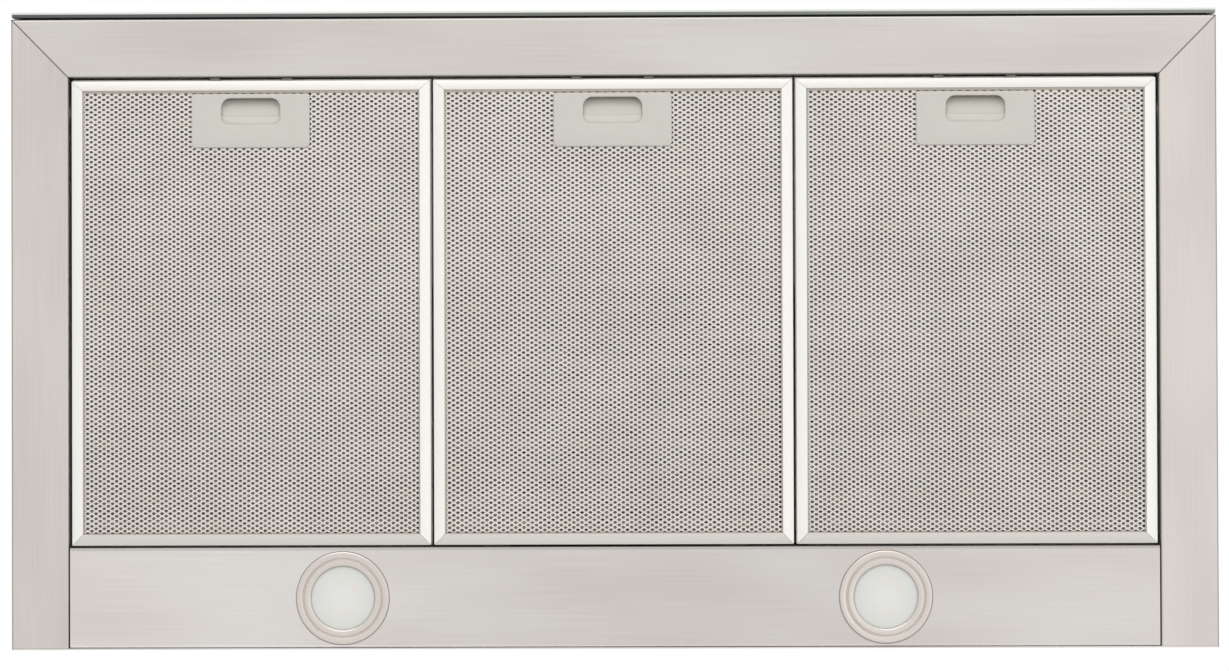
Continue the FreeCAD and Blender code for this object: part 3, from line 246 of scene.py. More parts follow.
def plain_metal(name, code, rough, mark_mm=0.8, stretch=(1, 1, 1), metallic=1.0, low=0.86):
    """Zinc plate, ground steel or cast aluminium: one tone with small marks of its process."""
    made, tree, body, where = material(name, Metallic=metallic, Roughness=rough)
    marks = pattern(tree, where, mark_mm, stretch, detail=3)
    red, green, blue, _ = linear(code)
    shade = add(tree, "ValToRGB", {"Fac": marks})
    shade.color_ramp.elements[0].color = (red * low, green * low, blue * low, 1)
    shade.color_ramp.elements[1].color = (red, green, blue, 1)
    tree.links.new(shade.outputs["Color"], body.inputs["Base Color"])
    roughened(tree, body, marks, rough * 0.8, rough * 1.25)
    return made


def back_printed_glass():
    """Tempered float glass over a black ceramic print: seen as a deep green-black gloss."""
    made, tree, body, where = material("float_glass_over_black", Roughness=0.04, IOR=1.52,
                                       Specular_IOR_Level=0.5)
    depth = pattern(tree, where, 120, detail=1)
    tinted(tree, body, depth, "#1C211F", "#232826")
    return made


def ground_glass_edge():
    """The glass's ground arris: pale green-white where the wheel left it matt."""
    made, tree, body, where = material("ground_glass_arris", Roughness=0.35, IOR=1.52)
    tinted(tree, body, pattern(tree, where, 25, (8, 1, 1), detail=3), "#D9DCD7", "#EEF0ED")
    return made


def polished_glass_edge():
    """The pane's lower edge: green-grey, because the black print behind shows through it, and
    paler towards the right, which is painted light from that side."""
    made, tree, body, where = material("polished_glass_edge", Roughness=0.2, IOR=1.52)
    x = add(tree, "SeparateXYZ", {"Vector": where}).outputs["X"]
    streaks = pattern(tree, where, 30, (10, 1, 1), detail=3)
    # Painted light: the edge's colour grows paler towards +x.
    way = add(tree, "Math", {0: streaks, 1: 0.2, 2: x}, operation="MULTIPLY_ADD").outputs[0]
    way = add(tree, "MapRange", {"Value": way}, From_Min=-0.3, From_Max=0.6).outputs["Result"]
    tinted(tree, body, way, "#545A56", "#8F9591", 0, 1)
    return made


def frosted_polycarbonate():
    """Polycarbonate diffuser, frosted inside: white, paler in the middle, with six LEDs as faint
    warm spots. Both are the mesh's own attributes, worked out with its vertices."""
    made, tree, body, _ = material("frosted_polycarbonate", Roughness=0.38, IOR=1.58)
    paler = add(tree, "Attribute", attribute_name="paler").outputs["Fac"]
    spots = add(tree, "Attribute", attribute_name="led").outputs["Fac"]
    base = tinted(tree, body, paler, "#DDDEDA", "#E6E7E6", 0.0, 1.0)
    warm = add(tree, "Mix", {0: spots, 6: base, 7: linear("#F0DECB")}, data_type="RGBA")
    tree.links.new(warm.outputs[2], body.inputs["Base Color"])
    return made


# The mitre runs from the outer to the inner corner; its normal and distance are for (|x|, |y|).
corner = np.array([HALF_WIDTH - RAIL_INNER_X, RAIL_INNER_Y - RAIL_FRONT])
MITRE_NORMAL = (corner[1] / np.hypot(*corner), -corner[0] / np.hypot(*corner), 0.0)
# Painted shade: the colour darkens to 0.34 within 0.75 mm of the mitre seam.
MITRE_SHADE = ("mitre", HALF_WIDTH * MITRE_NORMAL[0] - RAIL_FRONT * MITRE_NORMAL[1], 0.75, 0.34)
# Painted shade: the rails darken at their folds, to 0.75 and 0.65 across the front and to 0.6 and
# 0.8 along the sides.
STAINLESS_WIDE = brushed_stainless(
    "belt_brushed_stainless_across", "x", "#CDC8C5", "#D8D5D1",
    (MITRE_SHADE, ("y", -RAIL_FRONT, 1.2, 0.75), ("y", -RAIL_INNER_Y, 1.2, 0.65)))
STAINLESS_DEEP = brushed_stainless(
    "belt_brushed_stainless_lengthwise", "y", "#CFC8C5", "#DBD6D3",
    (MITRE_SHADE, ("x", HALF_WIDTH, 1.0, 0.6), ("x", RAIL_INNER_X, 1.4, 0.8)))
# Painted light and shade on the panel: darker at its front fold (0.55) and towards the middle
# (0.92), lighter at its rear edge (1.45) and towards the left end (1.16).
STAINLESS_PANEL = brushed_stainless(
    "belt_brushed_stainless_panel", "x", "#CBC6C3", "#D6D3D1",
    (("y", -PANEL_FRONT, 3.0, 0.55), ("x", 0.0, 330.0, 0.92), ("y", 1.5, 1.6, 1.45),
     ("signed x", -HALF_WIDTH, 940.0, 1.16)))
STAINLESS_REAR = brushed_stainless("belt_brushed_stainless_rear", "x", "#D3CECB", "#DEDBD9")
ZINC_SHEET = galvanised_sheet()
SATIN_ALUMINIUM = anodised_aluminium()
MESH_FACE = expanded_foil("slit_and_stretched_aluminium", "#E9E6E1", "#F1EEEA")
MESH_CORE = expanded_foil("greased_aluminium_mesh", "#94877C", "#A4988D")
LATCH_GREY = moulded_plastic("moulded_abs_warm_grey", "#CFCDC6", "#D3D1CA", 0.48)
# Painted light: the pull's grey is a little lighter than the plate's, against the shade in the
# window.
LATCH_PULL = moulded_plastic("moulded_abs_warm_grey_pull", "#D2D0C9", "#D6D4CD", 0.48, painted_shade=True)
BLACK_PLASTIC = moulded_plastic("moulded_abs_black", "#1B1B1C", "#242425", 0.52, 0.9)
WHITE_PLASTIC = moulded_plastic("moulded_abs_white", "#D6D5D0", "#DEDDD9", 0.45, 0.9)
BOX_PLASTIC = moulded_plastic("moulded_abs_mid_grey", "#77797A", "#808283", 0.5, 0.9)
FOAM_TAPE = moulded_plastic("acrylic_foam_tape", "#433C38", "#4D4641", 0.85, 0.5)
SOLDER_MASK = moulded_plastic("green_solder_mask", "#1C4A33", "#22573C", 0.3, 1.5)
SATIN_NICKEL = plain_metal("satin_nickel_trim", "#DDD7D2", 0.3, 0.7, low=0.95)
# Painted shade: a darker copy of the bezel's nickel for the floor of its groove.
GROOVE_SHADE_NICKEL = plain_metal("nickel_groove_painted_shade", "#D3C9C2", 0.38, 0.7, low=0.95)
# Its thin dark ring under each bezel stands for the shade at the rim: a seal and painted shade.
LAMP_SEAL_AND_SHADE = moulded_plastic("moulded_rubber_seal_shade_line", "#8F847A", "#998D84", 0.7, 0.5)
CAST_ALUMINIUM = plain_metal("die_cast_aluminium", "#A9A9AA", 0.5, 1.2)
ZINC_PLATE = plain_metal("bright_zinc_plate", "#C4C6C8", 0.3, 0.8)
GROUND_STEEL = plain_metal("ground_steel", "#BFBFC0", 0.22, 0.6, (30, 1, 1))
SPRING_STEEL = plain_metal("rolled_spring_steel", "#A8A8A6", 0.28, 0.7, (20, 1, 1))
MOTOR_BLACK = plain_metal("black_stoved_enamel", "#1E1E20", 0.4, 1.5, metallic=0.0)
DARK_GLASS = back_printed_glass()
FROSTED = frosted_polycarbonate()
GROUND_GLASS = ground_glass_edge()
GLASS_EDGE = polished_glass_edge()


# ================================ mesh helpers ================================
def piece(name, points, faces, look, body, slot, replaced=(), smooth=40, closed=True):
    """A mesh object from millimetre points of the drawing, riding on a body. A closed one gets
    its doubles merged and its faces turned outwards."""
    mesh = bpy.data.meshes.new(name)
    shifted = np.asarray(points, float) - (0, 0, SCREW_RISE)
    mesh.from_pydata((shifted / 1000).tolist(), [], faces)
    made = bpy.data.objects.new(name, mesh)
    bpy.context.scene.collection.objects.link(made)
    mesh.materials.append(look)
    finish_mesh(made, smooth)
    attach(made, body)
    if replaced:
        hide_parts(*replaced)
    if closed:
        turned_outwards(made)
    return made


def finish_mesh(made, smooth):
    """Shades a mesh smooth, except over edges sharper than the angle in degrees."""
    made.data.validate()
    if smooth:
        made.data.shade_smooth()
        made.data.set_sharp_from_angle(angle=math.radians(smooth))


def attribute(made, name, values):
    """Stores one number for each vertex, which the material reads by name."""
    layer = made.data.attributes.new(name, "FLOAT", "POINT")
    layer.data.foreach_set("value", np.asarray(values, np.float32))


def places(made):
    """Where a mesh's vertices are, in millimetres of the drawing."""
    at = np.empty(len(made.data.vertices) * 3)
    made.data.vertices.foreach_get("co", at)
    return (at.reshape(-1, 3) * 1000 + (0, 0, SCREW_RISE)).T


def grid_faces(rows, columns, close_rows=False, close_columns=False, start=0, flip=False):
    """Quads of a grid of rows x columns points that may close on itself either way."""
    r = np.arange(rows if close_rows else rows - 1)
    c = np.arange(columns if close_columns else columns - 1)
    r, c = (a.ravel() for a in np.meshgrid(r, c, indexing="ij"))
    r2, c2 = (r + 1) % rows, (c + 1) % columns
    quads = np.stack([r * columns + c, r * columns + c2, r2 * columns + c2, r2 * columns + c], 1)
    return start + (quads[:, ::-1] if flip else quads)


def joined(parts):
    """Several (points, faces) as one; faces of four or three corners are kept as lists."""
    points, faces, start = [], [], 0
    for part_points, part_faces in parts:
        points.append(np.asarray(part_points, float))
        faces += [[start + i for i in face] for face in part_faces]
        start += len(part_points)
    return np.concatenate(points), faces


def lathe(profile, centre, axis="z", steps=96):
    """A closed (radius, height) profile turned about an axis through centre: each point of the
    profile becomes a circle, with radius times cosine and sine of equal angles."""
    profile = np.asarray(profile, float)
    angle = np.linspace(0, 2 * np.pi, steps, endpoint=False)[:, None]
    a, b = profile[:, 0] * np.cos(angle), profile[:, 0] * np.sin(angle)
    h = np.broadcast_to(profile[:, 1], a.shape)
    order = {"z": (a, b, h), "x": (h, a, b), "y": (b, h, a)}[axis]
    points = np.stack(order, -1).reshape(-1, 3) + centre
    return points, grid_faces(steps, len(profile), True, True).tolist()


def rounded_loop(x0, x1, y0, y1, front, rear, steps=8):
    """A rectangle's outline with one radius for its two front corners and one for its rear ones:
    each corner is a quarter circle of equal angles. Runs anticlockwise seen from above."""
    out = []
    for x, y, r, turn in ((x0, y0, front, 180), (x1, y0, front, 270), (x1, y1, rear, 0),
                          (x0, y1, rear, 90)):
        cx = x + r if x == x0 else x - r
        cy = y + r if y == y0 else y - r
        t = np.radians(turn + np.linspace(0, 90, steps))
        out.append(np.stack([cx + r * np.cos(t), cy + r * np.sin(t)], 1))
    return np.concatenate(out)


def long_sides(loop, fractions):
    """A rounded rectangle's outline with more points on its straight sides, at these fractions."""
    corners = loop.reshape(4, -1, 2)
    steps = np.asarray(fractions)[:, None]
    out = []
    for here, there in zip(corners, np.roll(corners, -1, 0)):
        out += [here, here[-1] + (there[0] - here[-1]) * steps]
    return np.concatenate(out)


def on_circle(loop, centre, radius):
    """A loop's points moved towards or away from a centre until they lie on a circle."""
    off = loop - centre
    return centre + off * (radius / np.hypot(*off.T))[:, None]


def aimed(part, place, axis, sign=1):
    """A part drawn with its height along z, turned so that height runs along an axis."""
    a, b, h = part[0].T
    h = h * sign
    points = np.stack({"z": (a, b, h), "x": (h, a, b), "y": (b, h, a)}[axis], 1) + place
    return points, part[1]


def about(part, centre, degrees):
    """A part turned about an upright line through centre, where it is drawn at x, y = 0."""
    c, s = math.cos(math.radians(degrees)), math.sin(math.radians(degrees))
    x, y, z = part[0].T
    return np.stack([c * x - s * y + centre[0], s * x + c * y + centre[1], z], 1), part[1]


def loft(loops):
    """Rings of equal point counts at given heights joined in turn, first and last joined too.
    Each entry is a loop of (x, y) points and its height z."""
    points = [np.column_stack([loop, np.full(len(loop), z)]) for loop, z in loops]
    return np.concatenate(points), grid_faces(len(loops), len(points[0]), True, True).tolist()


def capped_loft(loops):
    """As loft, but the first and last rings are closed with flat faces instead."""
    points = [np.column_stack([loop, np.full(len(loop), z)]) for loop, z in loops]
    count = len(points[0])
    faces = grid_faces(len(loops), count, False, True).tolist()
    last = (len(loops) - 1) * count
    faces.append(list(range(count))[::-1])
    faces.append([last + i for i in range(count)])
    return np.concatenate(points), faces


def soft_block(x0, x1, y0, y1, z0, z1, edge=0.5, corner=None):
    """A block with rounded edges: rings of a rounded rectangle that shrink by the edge radius
    times one minus cosine as they near the top and bottom."""
    corner = edge if corner is None else corner
    loops = []
    for z_side, sign in ((z0, 1), (z1, -1)):
        t = np.radians((0, 30, 60, 90)) if sign > 0 else np.radians((90, 60, 30, 0))
        for a in t:
            inset = edge * (1 - math.sin(a))
            z = z_side + sign * edge * (1 - math.cos(a))
            r = max(corner - inset, 0.05)
            loops.append((rounded_loop(x0 + inset, x1 - inset, y0 + inset, y1 - inset, r, r, 5), z))
    return capped_loft(loops)


def turned_outwards(made):
    """Merges doubles and makes all normals of a closed mesh point out."""
    work = bmesh.new()
    work.from_mesh(made.data)
    bmesh.ops.remove_doubles(work, verts=work.verts, dist=1e-7)
    bmesh.ops.dissolve_degenerate(work, edges=work.edges, dist=1e-7)
    bmesh.ops.recalc_face_normals(work, faces=work.faces)
    work.to_mesh(made.data)
    work.free()


# ================================ grease filters ================================
def bar_profile(face, lip, flange):
    """The thin-walled channel bar as (inset, height) points: a face this wide, a lip that steps
    0.7 mm up at its inner edge, and a flange that stands out at its top."""
    inner = face + lip
    return np.array([(face - 0.12, 0.0), (face, 0.12), (face + 0.04, 0.6), (inner - 0.1, 0.72),
                     (inner, 0.95), (inner, 1.3), (face - 1.0, 1.3), (0.9, 0.9), (0.9, 9.1),
                     (face - 1.0, 9.1), (face - 1.0, 10.0), (0.1 - flange, 10.0), (-flange, 9.9),
                     (-flange, 9.3), (0.1 - flange, 9.2), (0.0, 9.2), (0.0, 0.4), (0.12, 0.12),
                     (0.4, 0.0)])


LIP_POINTS = slice(2, 7)
SIDE_FLANGE, FRONT_FLANGE, REAR_FLANGE = 0.4, 1.6, 0.15
# Painted shade: side bars lightest, front bars darker, rear bars darker still as they face the
# light, and the inner lip and tabs darkest, in shade.
BAR_PAINTED_SHADES = {"side": 1.0, "front": 0.73, "rear": 0.45, "lip": 0.12, "tab": -0.03}


def filter_bars(centre):
    """Four channel bars mitred at the corners: each bar is its section at two ends, where the
    cut follows the line that both bars' insets give, less half a hairline gap. Gives the points
    and faces, and the tone of each point, which is painted shade."""
    side = bar_profile(SIDE_FACE, SIDE_LIP, SIDE_FLANGE)
    front = bar_profile(FRONT_FACE, FRONT_LIP, FRONT_FLANGE)
    rear = bar_profile(REAR_FACE, REAR_LIP, REAR_FLANGE)
    gap = 0.12
    parts, tones = [], []
    for sx in (-1, 1):
        x = centre + sx * (FILTER_HALF - side[:, 0])
        ends = [np.column_stack([x, FILTER_FRONT + front[:, 0] + gap, side[:, 1]]),
                np.column_stack([x, FILTER_REAR - rear[:, 0] - gap, side[:, 1]])]
        parts.append(bar_between(ends))
        tones.append("side")
    for name, y0, sy, end in (("front", FILTER_FRONT, 1, front), ("rear", FILTER_REAR, -1, rear)):
        y = y0 + sy * end[:, 0]
        ends = [np.column_stack([centre - FILTER_HALF + side[:, 0] + gap, y, end[:, 1]]),
                np.column_stack([centre + FILTER_HALF - side[:, 0] - gap, y, end[:, 1]])]
        parts.append(bar_between(ends))
        tones.append(name)
    for sx in (-1, 1):
        x = centre + sx * (FILTER_HALF - 45.0)
        parts.append(soft_block(x - 8, x + 8, FILTER_REAR - 0.9, FILTER_REAR + 8, 7.0, 8.2, 0.4,
                                1.5))
        tones.append("tab")
    tone = []
    for (points, _), name in zip(parts, tones):
        own = np.full(len(points), BAR_PAINTED_SHADES[name])
        if len(points) == 2 * len(side):
            own.reshape(2, -1)[:, LIP_POINTS] = BAR_PAINTED_SHADES["lip"]
        tone.append(own)
    return joined(parts), np.concatenate(tone)


def bar_between(ends):
    """A bar from one outline to another, with both ends closed."""
    count = len(ends[0])
    faces = grid_faces(2, count, False, True).tolist()
    return np.concatenate(ends), faces + [list(range(count))[::-1], list(range(count, 2 * count))]


MESH_PITCH_X = 6.16
MESH_PITCH_Y = 1.86
MESH_OPENING = 1.95


def expanded_sheet(x0, x1, y0, y1, pitch_x, pitch_y, opening, stretch, rise, lift, hidden):
    """Expanded metal as one strand of foil per slit row. A strand is as wide as the row pitch,
    but each of its edges has a bay in every period, half an opening deep, and the two edges' bays
    are half a period apart. Rows swap their edges in turn, so bays meet as six-sided holes. The
    strand is folded: its front half is nearly level and its rear edge lies rise higher where
    strands meet, but is almost level beside the holes. The openings grow evenly to stretch times
    their first width at the last row. lift gives the ridge's height at each y; nothing is left
    where hidden is true."""
    rows = int(round((y1 - y0) / pitch_y)) + 1
    periods = int(round((x1 - x0) / pitch_x))
    phase = np.array([0.10, 0.25, 0.40, 0.60, 0.75, 0.90])
    bay = np.array([[0.0, 0, 1, 1, 0, 0], [1, 0, 0, 0, 0, 1]])
    opening = opening * np.linspace(1.0, stretch, rows)[:, None]
    x = x0 + pitch_x * (np.arange(periods)[:, None] + phase).ravel()
    row = np.arange(rows)[:, None]
    odd = row % 2 == 1
    rear_bay, front_bay = (np.tile(b, periods)[None] for b in bay)
    middle = y0 + pitch_y * row
    front = middle - pitch_y / 2 + opening / 2 * np.where(odd, rear_bay, front_bay)
    rear = middle + pitch_y / 2 - opening / 2 * np.where(odd, front_bay, rear_bay)
    yy = np.stack([front, 0.55 * front + 0.45 * rear, rear], -1)
    xx = np.broadcast_to(x[:, None], yy.shape)
    fold = rise * (1 - 0.7 * (rear_bay + front_bay))
    zz = lift(yy[..., 1])[..., None] + fold[..., None] * (0.1, 0.0, 1.0)
    points = np.stack([xx, yy, zz], -1).reshape(-1, 3)
    one = grid_faces(len(x), 3)
    faces = (one[None] + (np.arange(rows) * len(x) * 3)[:, None, None]).reshape(-1, 4)
    gone = hidden(xx, yy).ravel()
    return points, faces[~gone[faces].all(1)].tolist()


def make_filter(side, centre):
    """One grease filter: bars, two mesh layers, latch plate and slider."""
    body = f"filter_{side}"
    (points, faces), tone = filter_bars(centre)
    bars = piece(f"filter_{side}_bars", points, faces, SATIN_ALUMINIUM, body,
                 "satin_aluminium", (f"filter_{side}_frame",), 30, closed=False)
    attribute(bars, "tone", tone)
    turned_outwards(bars)

    def under_plate(x, y, clear=2.2):
        inside = np.abs(x - centre) < PLATE_HALF - clear
        return inside & (y > PLATE_FRONT + clear) & (y < PLATE_REAR - clear)

    reach = FILTER_HALF - SIDE_FACE - SIDE_LIP + 0.9
    y0, y1 = FILTER_FRONT + FRONT_FACE + FRONT_LIP, FILTER_REAR - REAR_FACE - REAR_LIP
    points, faces = expanded_sheet(centre - reach, centre + reach, y0, y1, MESH_PITCH_X,
                                   MESH_PITCH_Y, MESH_OPENING, 1.13, 0.42,
                                   lambda y: np.full(y.shape, 1.4), under_plate)
    piece(f"filter_{side}_mesh", points, faces, MESH_FACE, body, "expanded_aluminium",
          (f"filter_{side}_mesh_front",), 0, closed=False)

    def pleats(y):
        return 2.5 + 3.0 * np.abs((y - FILTER_FRONT) / 10.0 % 2 - 1)

    points, faces = expanded_sheet(centre - reach, centre + reach, y0, y1, 7.3, 2.5, 1.0, 1.0, 0.6,
                                   pleats, lambda x, y: under_plate(x, y, -1.5))
    piece(f"filter_{side}_pleats", points, faces, MESH_CORE, body, "expanded_aluminium",
          (f"filter_{side}_mesh_core",), 0, closed=False)
    make_latch(side, centre)


def window_loop(centre, grow=0.0):
    """The latch window's outline, grown all round."""
    return rounded_loop(centre - 22 - grow, centre + 22 + grow, PLATE_FRONT + 3.2 - grow,
                        PLATE_FRONT + 22.6 + grow, 7.0 + grow, 5.5 + grow, 9)


def make_latch(side, centre):
    """The plate round the window, and the sliding finger pull behind it."""
    face, back, edge = -0.4, 0.9, 0.55

    def outer(inset):
        return rounded_loop(centre - PLATE_HALF + inset, centre + PLATE_HALF - inset,
                            PLATE_FRONT + inset, PLATE_REAR - inset, 1.6, 3.6 - inset, 9)

    loops = [(outer(0), back), (outer(0), face + edge)]
    for degrees in (30, 60, 90):
        t = math.radians(degrees)
        loops.append((outer(edge * (1 - math.cos(t))), face + edge * (1 - math.sin(t))))
    for degrees in (90, 60, 30, 0):
        t = math.radians(degrees)
        grow = edge * (1 - math.cos(t))
        loops.append((window_loop(centre, grow), face + edge * (1 - math.sin(t))))
    loops.append((window_loop(centre), back))
    piece(f"filter_{side}_latch_face", *loft(loops), LATCH_GREY, f"filter_{side}",
          "grey_latch_plastic", (f"filter_{side}_latch_plate",), 50)

    pull = piece(f"filter_{side}_latch_pull", *joined(pull_parts(centre)), LATCH_PULL,
                 f"latch_{side}", "grey_latch_plastic", (f"filter_{side}_latch_slider",), 50)
    # Painted shade in the pocket: darker along its steep front wall and at its two rounded ends,
    # where its walls shade it.
    x, y, _ = places(pull)
    front = np.clip((2.0 - (y - POCKET_FRONT)) / 1.1, 0, 1)
    ends = 0.45 * np.clip((np.abs(x - centre) - 20.4) / 1.4, 0, 1)
    in_pocket = y < POCKET_FRONT + POCKET_LENGTH - 0.2
    attribute(pull, "painted_shade", np.where(in_pocket, np.clip(np.maximum(front, ends) + 0.1, 0, 1), 0))
    make_leaf_spring(side, centre)


SPRING_CROWN_Y, SPRING_BACK_Y, SPRING_HALF = -383.8, -376.7, 22.0


def make_leaf_spring(side, centre):
    """The leaf spring behind the crossbar: a strip bowed as a cosine squared, whose ends bear on
    the housing's rear wall. The real spring flattens towards that wall as the pull slides; this
    is its shape at rest."""
    x = np.linspace(-SPRING_HALF, SPRING_HALF, 33)
    bow = (SPRING_BACK_Y - SPRING_CROWN_Y - 0.5) * np.sin(np.pi * x / (2 * SPRING_HALF)) ** 2
    slope = np.gradient(bow, x)
    normal = np.stack([-slope, np.ones(len(x))], 1) / np.hypot(1, slope)[:, None] * 0.2
    line = np.stack([centre + x, SPRING_CROWN_Y + 0.22 + bow], 1)
    outline = np.concatenate([line - normal, (line + normal)[::-1]])
    ends = [np.column_stack([outline, np.full(len(outline), z)]) for z in (1.45, 5.45)]
    spring = piece(f"filter_{side}_latch_leaf", *bar_between(ends), SPRING_STEEL, f"filter_{side}",
                   "spring_steel", (f"filter_{side}_latch_spring",), 35)
    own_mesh(spring)


def pull_parts(centre):
    """The finger pull: a scooped pocket, the band behind it, a crossbar and two tongues. The
    scoop has a steep front wall, rounded as a quarter circle, and rises from there to the band as
    a power of the way left; its two ends are rounded walls."""
    bend = 1 - np.cos(np.radians(np.arange(15, 91, 15)))
    half, end = 22.7, 3.6
    x = centre + np.concatenate([[-half], -half + end * bend, np.linspace(-16, 16, 9),
                                 half - end * bend[::-1], [half]])
    rise_x = np.sqrt(1 - (1 - np.clip((half - np.abs(x - centre)) / end, 0, 1)) ** 2)
    wall = 1.1
    run = np.concatenate([[0], bend * wall, np.linspace(1.8, 13.4, 9), [POCKET_LENGTH]])
    y = POCKET_FRONT + run
    front = np.sqrt(1 - (1 - np.clip(run / wall, 0, 1)) ** 2)
    left = np.clip((POCKET_LENGTH - run) / (POCKET_LENGTH - wall), 0, 1)
    rear = np.where(run < POCKET_LENGTH, 0.5, 0.0)
    depth = 1.35 + ((5.0 * left ** 1.4) * front + rear)[:, None] * rise_x[None]
    xx, yy = np.broadcast_to(x, depth.shape), np.broadcast_to(y[:, None], depth.shape)
    top = np.stack([xx, yy, depth], -1)
    shell = top + (0, 0, 0.9)
    count = top.shape[0] * top.shape[1]
    rows, columns = depth.shape
    faces = grid_faces(rows, columns).tolist()
    faces += grid_faces(rows, columns, start=count, flip=True).tolist()
    ring = np.concatenate([np.arange(columns), np.arange(1, rows) * columns + columns - 1,
                           (rows - 1) * columns + np.arange(columns - 2, -1, -1),
                           np.arange(rows - 2, 0, -1) * columns])
    nxt = np.roll(ring, -1)
    faces += np.stack([nxt, ring, ring + count, nxt + count], 1).tolist()
    scoop = (np.concatenate([top.reshape(-1, 3), shell.reshape(-1, 3)]), faces)
    parts = [scoop, soft_block(centre - half, centre + half, -397.15, -384.0, 1.3, 2.7, 0.35),
             soft_block(centre - 30.8, centre + 30.8, -389.9, -383.9, 1.35, 5.6, 0.4)]
    for s in (-1, 1):
        mid = centre + 27.0 * s
        parts.append(soft_block(mid - 3.8, mid + 3.8, -426.1, -384.5, 4.0, 5.6, 0.35, 0.8))
    return parts


# ================================ canopy dressing ================================
def make_glass():
    """The pane as one closed outline in y and z carried along x, with its ends stepped in by the
    same arris: a polished face, and a ground arris that is a separate material."""
    y0, y1, top, arris = GLASS_FRONT, GLASS_BACK, PLATE_UNDER, 0.9
    outline = np.array([(y0, arris), (y0 + 0.3, 0.38), (y0 + 0.8, 0.1), (y0 + 1.5, 0.0),
                        (y1 - 0.7, 0.0), (y1 - 0.2, 0.2), (y1, 0.7), (y1, top - 0.7),
                        (y1 - 0.7, top), (y0 + 0.9, top), (y0, top - 0.9)])
    middle = np.array([(y0 + y1) / 2, top / 2])
    half = np.array([(y1 - y0) / 2, top / 2])
    stations = [(-HALF_WIDTH, 1.0), (-HALF_WIDTH + 0.35, 0.4), (-HALF_WIDTH + 1.0, 0.0)]
    stations += [(-x, inset) for x, inset in stations[::-1]]
    rings = []
    for x, inset in stations:
        ring = middle + (outline - middle) * (1 - inset / half)
        rings.append(np.column_stack([np.full(len(ring), x), ring]))
    count = len(outline)
    faces = grid_faces(len(rings), count, False, True).tolist()
    last = (len(rings) - 1) * count
    faces += [list(range(count))[::-1], [last + i for i in range(count)]]
    pane = piece("glass_pane", np.concatenate(rings), faces, DARK_GLASS, "canopy", "fascia_glass",
                 ("glass_fascia",), 50)
    pane.data.materials.append(GROUND_GLASS)
    pane.data.materials.append(GLASS_EDGE)
    centres = np.empty(len(pane.data.polygons) * 3)
    pane.data.polygons.foreach_get("center", centres)
    x, y, z = centres.reshape(-1, 3).T * 1000
    z = z + SCREW_RISE
    ground = (z < 1.2) & (y < y0 + 1.45) | (np.abs(x) > HALF_WIDTH - 0.95)
    edge = (z < 0.5) & ~ground
    pane.data.polygons.foreach_set("material_index", (ground * 1 + edge * 2).astype(np.int32))


def make_lamps():
    """Both bezels as one turned ring with a groove, whose floor is a darker nickel as painted
    shade;
    thin seals under them, dark so that they paint the shade line at the bezels' rims; and both
    lenses as shallow domes whose LED spots are bell curves round six points of a circle."""
    ring = [(34.5, 0.0), (34.5, -0.75), (34.35, -1.2), (33.9, -1.5), (33.3, -1.6), (30.1, -1.6),
            (29.9, -1.5), (29.7, -0.6), (29.3, -0.4), (28.8, -0.4), (28.4, -0.6), (28.2, -1.5),
            (27.9, -1.6),
            (25.2, -1.35), (24.4, -1.15), (23.8, -0.8), (23.5, -0.3), (23.5, 0.0)]
    parts = [lathe(ring, (x, LAMP_Y, 0), steps=128) for x in (-LAMP_X, LAMP_X)]
    bezels = piece("lamp_rings", *joined(parts), SATIN_NICKEL, "canopy", "satin_silver_trim",
                   ("lamp_bezels",), 35)
    bezels.data.materials.append(GROOVE_SHADE_NICKEL)
    # Painted shade: the groove's floor faces take the darker nickel.
    x, y, z = places(bezels)
    low = (z > -1.0) & (np.abs(np.hypot(np.abs(x) - LAMP_X, y - LAMP_Y) - 29.05) < 0.8)
    corners = np.empty(len(bezels.data.loops), np.int32)
    bezels.data.loops.foreach_get("vertex_index", corners)
    groove = low[corners].reshape(-1, 4).all(1)
    bezels.data.polygons.foreach_set("material_index", groove.astype(np.int32))
    # Painted shade: a thin dark ring under each bezel's rim stands for the shade line there.
    seal = [(31.0, -0.35), (34.9, -0.35), (34.95, -0.1), (34.95, -0.02), (31.0, -0.02)]
    parts = [lathe(seal, (x, LAMP_Y, 0), steps=96) for x in (-LAMP_X, LAMP_X)]
    piece("lamp_gaskets_shade_line", *joined(parts), LAMP_SEAL_AND_SHADE, "canopy", "foam_tape")
    dome = np.linspace(0.02, 22.5, 26)
    radius = np.concatenate([dome, [23.45, 26.5, 26.5, 0.02]])
    height = np.concatenate([0.05 + 0.00082 * dome ** 2, [0.5, 0.5, 2.0, 2.0]])
    parts = [lathe(np.column_stack([radius, height]), (x, LAMP_Y, 0), steps=96)
             for x in (-LAMP_X, LAMP_X)]
    lenses = piece("lamp_diffusers", *joined(parts), FROSTED, "canopy", "frosted_lens",
                   ("lamp_lenses",), 40, closed=False)
    x, y, _ = places(lenses)
    x = x - LAMP_X * np.sign(x)
    y = y - LAMP_Y
    glow = np.zeros(len(x))
    for degrees in (-96, -41, 14, 74, 135, 202):
        t = math.radians(degrees)
        gap = np.hypot(x - 11.7 * math.cos(t), y - 11.7 * math.sin(t))
        glow += np.exp(-(gap / 1.5) ** 2)
    attribute(lenses, "led", glow * 0.8)
    attribute(lenses, "paler", np.clip(1.3 - np.hypot(x, y) / 18, 0, 1))


